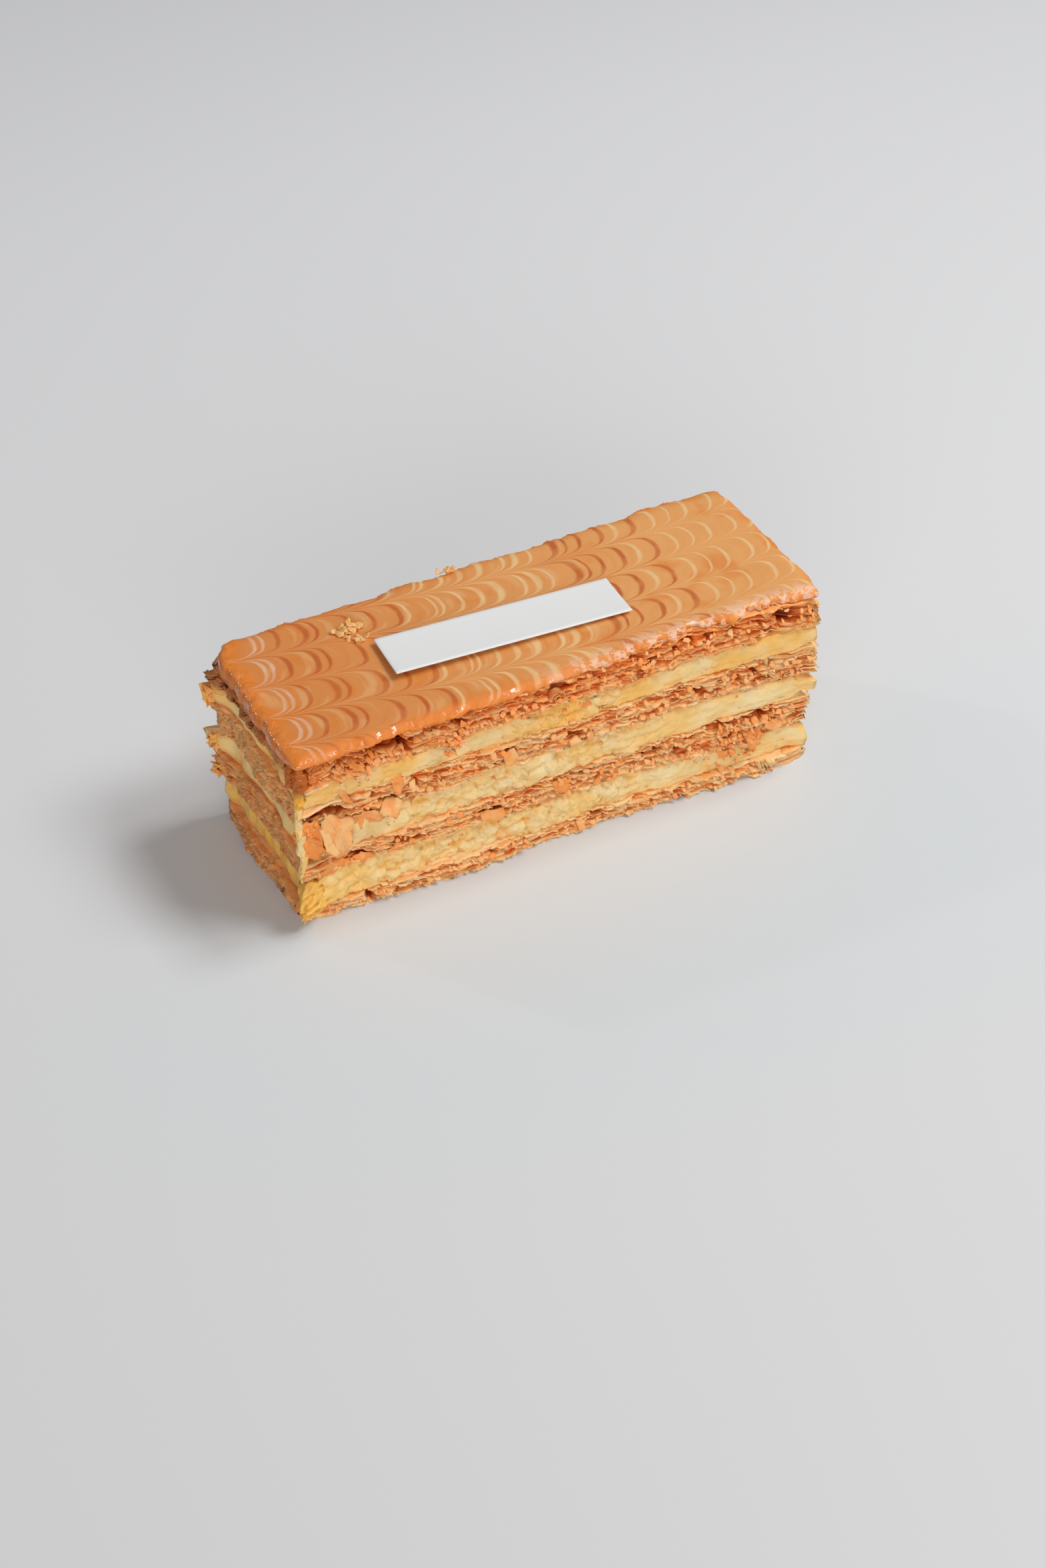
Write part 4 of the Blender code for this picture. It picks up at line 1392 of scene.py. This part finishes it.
def curled_roll(parts, skin):
    """The small rolled leaf under the crust."""
    x, z = -2.6, 38.9
    face_y = hit(skin, (x * MM, -0.06, z * MM), (0, 1, 0)).y

    def place(turn, depth):
        rag = noise_at(Vector((turn * 1.6, depth * 2.0, 5.0)))
        radius = 0.35 + 0.16 * turn
        out = 0.9 - depth + 0.3 * rag
        along = x + math.cos(turn) * (radius + 0.1 * rag)
        return Vector((along * MM, face_y - out * MM, (z + math.sin(turn) * radius) * MM))

    edge = [(0.6 + 9.0 * i / 40, 0.0) for i in range(41)] + [(9.6 - 9.0 * i / 40, 2.0) for i in range(41)]
    plate(parts, Vector((5.1, 1.0)), [Vector(p) for p in edge], place, 0.2 * MM, 0.6, rings=8)


# Torn tails that stand out from the back-left (-1) and front-right (1) edges, as
# (side, height, reach, spread, tint, count).
TAILS = (
    (-1, 34.0, 3.3, 1.7, 0.7, 9),
    (-1, 31.8, 2.2, 1.0, 0.9, 4),
    (-1, 21.0, 2.6, 1.5, 0.8, 8),
    (-1, 13.0, 2.1, 1.8, 0.7, 7),
    (1, 40.5, 1.7, 2.2, 0.9, 9),
    (1, 37.0, 1.5, 1.2, 0.8, 4),
    (1, 27.5, 1.3, 2.0, 0.5, 6),
    (1, 22.0, 1.5, 1.6, -0.6, 4),
    (1, 15.0, 1.3, 2.0, 0.6, 6),
)


def tail_flakes(parts, skin, draw):
    """Ragged scraps with pointed corners on two upright edges, turned every way."""
    for side, z, reach, spread, tint, count in TAILS:
        for _ in range(count):
            level = z + draw.gauss(0, spread * 0.4)
            aside = (20.3 if side < 0 else 18.2) + draw.uniform(-1.5, 0.5)
            foot = hit(skin, (side * 0.1, -side * aside * MM, level * MM), (-side, 0, 0))
            heading = Vector((side, -side * draw.uniform(-0.3, 0.5), draw.uniform(-0.75, 0.45))).normalized()
            slant = Vector((draw.uniform(-0.7, 0.7), draw.uniform(-1.2, 0.2), 0.8))
            across = heading.cross(slant).normalized()
            up = across.cross(heading)
            length = reach * draw.uniform(0.6, 1.0)
            width = length * draw.uniform(0.5, 0.8)
            corners = draw.randint(6, 9)
            star = []
            for i in range(corners):
                angle = math.tau * (i + draw.uniform(-0.25, 0.25)) / corners
                size = draw.uniform(0.75, 1.1) if i % 2 else draw.uniform(0.3, 0.6)
                star.append((length * (0.32 + 0.62 * math.cos(angle) * size), width * math.sin(angle) * size))
            bend = draw.uniform(-0.09, 0.09)
            phase = draw.uniform(0, 50)

            def place(along, aside):
                lift = bend * along * along + 0.4 * noise_at(Vector((phase, along * 0.7, aside * 0.7)))
                return foot + (heading * along + across * aside + up * lift) * MM

            middle, edge = ragged(star, draw, 0.05)
            own = -1.5 if draw.random() < 0.45 else min(1.0, tint + draw.uniform(-0.4, 0.3))
            plate(parts, middle, edge, place, draw.uniform(0.35, 0.7) * MM, own)


class BuildFlakes(bpy.types.Operator):
    """Builds the flakes that hang over the front and stand out at the back-left edge"""

    bl_idname = "mille_feuille.flakes"
    bl_label = "Hanging Flakes"

    def execute(self, context):
        draw = random.Random(21)
        skin = solid_skin()
        face = front_face(skin)
        parts = ([], [], [])
        for outline, stand_off, tint in LARGE_FLAKES:
            hanging_flake(parts, face, draw, outline, stand_off, tint, 0.045)
        for x0, x1, z0, z1, count, stand_off, tint in SCRAP_STRETCHES:
            for _ in range(count):
                x, z = draw.uniform(x0, x1), draw.uniform(z0, z1)
                width, drop = draw.uniform(0.7, 2.4), draw.uniform(0.6, 1.5)
                outline = scrap_outline(x, z, width, drop, draw)
                lean = stand_off * draw.uniform(0.2, 1.3)
                own = min(1.0, max(0.0, draw.gauss(tint, 0.25)))
                hanging_flake(parts, face, draw, outline, lean, own, 0.1, 4)
        curled_roll(parts, skin)
        tails = ([], [], [])
        tail_flakes(tails, skin, draw)
        material = flake_material(context.scene.mille_feuille_pastry)
        finished_piece("hanging_flakes", [mesh_from_parts("flakes", parts)], material)
        finished_piece("edge_tails", [mesh_from_parts("tails", tails)], material)
        return {"FINISHED"}


# The crumbs' heaps, as (x, y, spread in x, spread in y, count, size) in millimetres.
CRUMB_GROUPS = (
    (-34.4, 12.6, 2.9, 2.2, 24, 2.2),
    (-33.4, 9.2, 1.8, 1.2, 10, 1.5),
    (-7.6, 21.6, 1.3, 1.0, 9, 1.8),
)


class BuildCrumbs(bpy.types.Operator):
    """Builds the few crumbs that lie on the icing"""

    bl_idname = "mille_feuille.crumbs"
    bl_label = "Crumbs"

    def execute(self, context):
        draw = random.Random(5)
        skin = solid_skin()
        parts = ([], [], [])
        for cx, cy, spread_x, spread_y, count, size in CRUMB_GROUPS:
            for index in range(count):
                x, y = cx + draw.gauss(0, spread_x * 0.5), cy + draw.gauss(0, spread_y * 0.5)
                floor = hit(skin, (x * MM, min(y, 21.0) * MM, 0.1), (0, 0, -1))
                turn = Matrix.Rotation(draw.uniform(0, math.tau), 3, "Z")
                turn = turn @ Matrix.Rotation(draw.uniform(-0.9, 0.9), 3, "X")
                seat = Vector((x * MM, y * MM, floor.z + (0.15 + 0.4 * size * index / count) * MM))
                width = size * draw.uniform(0.9, 2.0)
                outline = scrap_outline(0.0, 0.0, width, size * draw.uniform(0.6, 1.2), draw)
                middle, edge = ragged(outline, draw, 0.08)
                bend = draw.uniform(-0.3, 0.3)
                plate(
                    parts, middle, edge, lambda a, b: seat + turn @ Vector((a, b, bend * a * a)) * MM,
                    0.35 * MM, draw.uniform(-0.9, -0.1), rings=3,
                )
        material = bpy.data.materials["loose_flakes"]
        finished_piece("icing_crumbs", [mesh_from_parts("crumbs", parts)], material)
        return {"FINISHED"}


def smear_strip(skin, name, path, width, thick, lumpy, hollow=0.0):
    """A soft strip of custard laid over the cut along a path of (direction, height) stations."""
    rows = len(path) * 10
    columns = 17
    front = []
    for i in range(rows + 1):
        share = i / rows * (len(path) - 1)
        index = min(int(share), len(path) - 2)
        local = share - index
        place, heading = (path[index][k].lerp(path[index + 1][k], local) for k in (0, 1))
        across = heading.cross(Vector((0, 0, 1))).normalized()
        swell = math.sin(math.pi * min(1.0, max(0.0, i / rows))) ** 0.5
        row = []
        for j in range(columns):
            u = 2 * j / (columns - 1) - 1
            wander = 0.5 * fractal(Vector((i * 0.07, 1.0, 2.0)))
            half = width / 2 * swell * (1 + 0.4 * fractal(Vector((i * 0.12, 0.4 * u, 4.0))))
            start = place - heading * 0.02 + across * ((u * half + wander) * MM)
            found = skin.ray_cast(start, heading)[3]
            depth = min(found or 1.0, 0.02 + (0.6 + 0.35 * abs(u) * half) * MM)
            found = start + heading * depth
            lump = 1 + lumpy * fractal(Vector((i * 0.16, u * 1.6, 9.0)))
            proud = thick * swell * max(0.0, 1 - u * u) ** 0.4 * max(0.15, lump)
            row.append(found - heading * ((proud - 0.25) * MM))
        front.append(row)
    back = [[point + path[0][1] * 1.2 * MM for point in row] for row in front]
    mesh = closed_slab(name, front, back)
    # The whole smear gets one hollow mark, which here only sets how deep its yellow is.
    marks = [hollow] * len(mesh.vertices)
    mesh.attributes.new("hollow", "FLOAT", "POINT").data.foreach_set("value", marks)
    return mesh


def closed_slab(name, front, back):
    """A closed mesh between two grids of points, with its faces turned outward."""
    rows = len(front)
    columns = len(front[0])
    size = rows * columns
    faces = []
    for i in range(rows - 1):
        for j in range(columns - 1):
            one = i * columns + j
            faces.append((one, one + 1, one + columns + 1, one + columns))
            faces.append((one + size, one + size + columns, one + size + columns + 1, one + size + 1))
    loop = [(0, j) for j in range(columns)] + [(i, columns - 1) for i in range(1, rows)]
    loop += [(rows - 1, j) for j in reversed(range(columns - 1))]
    loop += [(i, 0) for i in reversed(range(1, rows - 1))]
    for index, (i, j) in enumerate(loop):
        k, m = loop[(index + 1) % len(loop)]
        one = i * columns + j
        two = k * columns + m
        faces.append((two, one, one + size, two + size))
    mesh = bpy.data.meshes.new(name)
    mesh.from_pydata([point for row in (*front, *back) for point in row], [], faces)
    work = bmesh.new()
    work.from_mesh(mesh)
    bmesh.ops.recalc_face_normals(work, faces=work.faces)
    work.to_mesh(mesh)
    work.free()
    return mesh


# Syrup that ran down the front-left edge, as (x, y, top, foot, width) in millimetres.
SYRUP_RUNS = (
    (-60.9, -20.4, 41.6, 33.6, 3.2),
    (-61.8, -18.6, 41.8, 35.6, 2.6),
    (-61.1, -20.2, 36.6, 30.2, 2.0),
)
# The custard's strip down that edge by height, and the blob at its foot by (shift, height).
STRIP_HEIGHTS = (34, 31, 28, 25, 22, 19, 16, 13.5, 11.5)
BLOB_PATH = ((0.4, 11), (0, 9), (-0.2, 7), (0.2, 5), (0.8, 3), (1.4, 2))


class BuildSmears(bpy.types.Operator):
    """Builds the custard that was drawn down over the front-left edge by the knife"""

    bl_idname = "mille_feuille.smears"
    bl_label = "Custard Smears"

    def execute(self, context):
        skin = solid_skin()
        inward = Vector((0.62, 0.78, 0)).normalized()
        strip = [(Vector((-61.2 + 0.3 * math.sin(z * 0.4), -20.2, z)) * MM, inward) for z in STRIP_HEIGHTS]
        blob = [(Vector((-60.0 + shift, -20.0, z)) * MM, inward) for shift, z in BLOB_PATH]
        meshes = [
            smear_strip(skin, "corner_strip", strip, 1.9, 0.8, 0.8, 0.15),
            smear_strip(skin, "corner_blob", blob, 5.2, 1.7, 2.2, 0.9),
        ]
        material = bpy.data.materials["soft_custard"]
        finished_piece("custard_smears", meshes, material)
        drips = []
        for index, (x, y, top, foot, width) in enumerate(SYRUP_RUNS):
            levels = [top + (foot - top) * step / 5 for step in range(6)]
            path = [(Vector((x, y, z)) * MM, inward) for z in levels]
            drips.append(smear_strip(skin, f"drip_{index}", path, width, 0.75, 0.9))
        finished_piece("corner_syrup", drips, syrup_material(context.scene.mille_feuille_icing))
        return {"FINISHED"}


class BuildIcing(bpy.types.Operator):
    """Builds the poured icing with its feathered lines"""

    bl_idname = "mille_feuille.icing"
    bl_label = "Icing"

    def execute(self, context):
        material = icing_material(context.scene.mille_feuille_icing)
        icing_band = band("icing_band", ICING_SECTION, caps=True)
        values = {"Layer": frame["nodes"]["icing"], "Material": material}
        mesh = run_tree(icing_band, icing_tree(), values)
        finished_piece("poured_icing", [mesh], material, ("icing",))
        discard(icing_band)
        return {"FINISHED"}


class BuildCard(bpy.types.Operator):
    """Builds the blank card that lies on the icing, a little bowed and lifted at its left end"""

    bl_idname = "mille_feuille.card"
    bl_label = "Card"

    def execute(self, context):
        node = frame["nodes"]["card"]
        length, width, thick = 53.2 * MM, 12.5 * MM, 0.36 * MM
        low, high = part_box("card")
        middle = (Vector(low) + Vector(high)) / 2
        turn = Matrix.Rotation(math.radians(-2.9), 3, "Z")
        columns, rows, rim = 60, 16, 0.12 * MM
        xs = [-length / 2, -length / 2 + rim, *(length * (i / columns - 0.5) for i in range(1, columns)),
              length / 2 - rim, length / 2]
        ys = [-width / 2, -width / 2 + rim, *(width * (i / rows - 0.5) for i in range(1, rows)),
              width / 2 - rim, width / 2]
        corners = [one.co.copy() for one in node.data.vertices]
        skin = BVHTree.FromPolygons(corners, [tuple(face.vertices) for face in node.data.polygons])
        beds = []
        for x in xs:
            inner = min(max(x, -length / 2 + 0.3 * MM), length / 2 - 0.3 * MM)
            spot = turn @ Vector((inner, 0, 0)) + middle
            beds.append(skin.ray_cast(Vector((spot.x, spot.y, 0.1)), Vector((0, 0, -1)))[0].z)

        def card_point(side, i, j):
            edge = i in (0, len(xs) - 1) or j in (0, len(ys) - 1)
            at = turn @ Vector((xs[i], ys[j], 0)) + middle
            crown = beds[i] - thick / 2 + 0.12 * MM * (2 * ys[j] / width) ** 2
            return at.x, at.y, crown + side * (thick / 2 - (0.1 * MM if edge else 0.0))

        sides = [
            [[card_point(side, i, j) for j in range(len(ys))] for i in range(len(xs))] for side in (1, -1)
        ]
        mesh = closed_slab("card", *sides)
        material = card_material(context.scene.mille_feuille_card)
        finished_piece("blank_card", [mesh], material, ("card",))
        return {"FINISHED"}


# Camera and light, set from the photograph's view of the slice.
VIEW_AZIMUTH = -27.99
VIEW_ELEVATION = 40.51
VIEW_ROLL = 0.59
VIEW_TARGET = (-11.4 * MM, -21.1 * MM, 20.0 * MM)
VIEW_DISTANCE = 479 * MM


def place_camera(settings):
    azimuth, elevation, roll = (math.radians(one) for one in (VIEW_AZIMUTH, VIEW_ELEVATION, VIEW_ROLL))
    level = math.cos(elevation)
    ahead = Vector((-math.sin(azimuth) * level, math.cos(azimuth) * level, -math.sin(elevation)))
    right = ahead.cross(Vector((0, 0, 1))).normalized()
    up = right.cross(ahead)
    turned_right = right * math.cos(roll) + up * math.sin(roll)
    turned_up = up * math.cos(roll) - right * math.sin(roll)
    data = bpy.data.cameras.new("camera")
    data.lens = settings.lens
    data.sensor_width = 36.0
    data.clip_start = 0.01
    camera = bpy.data.objects.new("camera", data)
    bpy.context.scene.collection.objects.link(camera)
    turn = Matrix((turned_right, turned_up, -ahead)).transposed().to_4x4()
    camera.matrix_world = Matrix.Translation(Vector(VIEW_TARGET) - ahead * VIEW_DISTANCE) @ turn
    bpy.context.scene.camera = camera


def soft_light(name, azimuth, elevation, distance, width, height, power):
    """An oblong light that faces the slice. Azimuth is measured from the front towards the right end."""
    data = bpy.data.lights.new(name, "AREA")
    data.shape = "RECTANGLE"
    data.size = width
    data.size_y = height
    data.energy = power
    light = bpy.data.objects.new(name, data)
    turn, rise = math.radians(azimuth), math.radians(elevation)
    away = Vector((math.sin(turn) * math.cos(rise), -math.cos(turn) * math.cos(rise), math.sin(rise)))
    light.location = away * distance
    light.rotation_euler = away.to_track_quat("Z", "Y").to_euler()
    bpy.context.scene.collection.objects.link(light)


class BuildStage(bpy.types.Operator):
    """Adds the pale floor, the soft lights and the camera"""

    bl_idname = "mille_feuille.stage"
    bl_label = "Stage"

    def execute(self, context):
        settings = context.scene.mille_feuille_stage
        mesh = bpy.data.meshes.new("floor")
        size = 6.0
        corners = [(-size, -size, 0), (size, -size, 0), (size, size, 0), (-size, size, 0)]
        mesh.from_pydata(corners, [], [(0, 1, 2, 3)])
        floor = link_object("floor", mesh)
        material, tree, shader = new_material("floor", 0.5, 0.3)
        _, depth, _ = separate(object_place(tree))
        # Painted shade: the floor darker towards the camera.
        colour = blend(remap(depth, -0.25, 0.3), settings.floor, settings.floor_far)
        # Painted cool light on the floor just in front of the slice.
        ahead = vector("SUBTRACT", object_place(tree), (0.01, -0.04, 0.0))
        ahead = vector("MULTIPLY", ahead, (0.55, 1.0, 1.0))
        near = remap(vector("LENGTH", ahead), 0.09, 0.02, smooth=True)
        colour = blend(near, colour, (0.93, 0.98, 1.0), "MULTIPLY")
        feed(shader, "Base Color", colour)
        mesh.materials.append(material)
        world = bpy.data.worlds.new("studio")
        world.use_nodes = True
        world.node_tree.nodes["Background"].inputs[0].default_value = (0.97, 0.985, 1.0, 1.0)
        world.node_tree.nodes["Background"].inputs[1].default_value = settings.sky
        context.scene.world = world
        soft_light("front_light", -25, 16, 1.7, 1.6, 0.7, settings.front)
        soft_light("key_light", 58, 54, 1.2, 0.4, 0.4, settings.key)
        soft_light("side_light", 92, 64, 1.1, 0.25, 0.25, settings.side)
        soft_light("back_light", -140, 34, 1.0, 0.05, 0.05, settings.back)
        context.scene.view_settings.view_transform = "Standard"
        place_camera(settings)
        return {"FINISHED"}


STEPS = (BuildSheets, BuildFlakes, BuildCrumbs, BuildCustard, BuildSmears, BuildIcing, BuildCard, BuildStage)
GROUPS = {
    "mille_feuille_pastry": PastrySettings,
    "mille_feuille_custard": CustardSettings,
    "mille_feuille_icing": IcingSettings,
    "mille_feuille_card": CardSettings,
    "mille_feuille_stage": StageSettings,
}


class MilleFeuillePanel(bpy.types.Panel):
    """Lists the settings and the steps that build the slice"""

    bl_idname = "VIEW3D_PT_mille_feuille"
    bl_label = "Mille Feuille"
    bl_space_type = "VIEW_3D"
    bl_region_type = "UI"
    bl_category = "Mille Feuille"

    def draw(self, context):
        for name, group in GROUPS.items():
            box = self.layout.box()
            settings = getattr(context.scene, name)
            for key in group.__annotations__:
                box.prop(settings, key)
        for step in STEPS:
            self.layout.operator(step.bl_idname)


def register():
    for one in (*GROUPS.values(), *STEPS, MilleFeuillePanel):
        bpy.utils.register_class(one)
    for name, group in GROUPS.items():
        setattr(bpy.types.Scene, name, PointerProperty(type=group))


def unregister():
    for name in GROUPS:
        delattr(bpy.types.Scene, name)
    for one in reversed((*GROUPS.values(), *STEPS, MilleFeuillePanel)):
        bpy.utils.unregister_class(one)


def main():
    register()
    for step in STEPS:
        group, name = step.bl_idname.split(".")
        getattr(getattr(bpy.ops, group), name)()


if __name__ == "__main__":
    main()
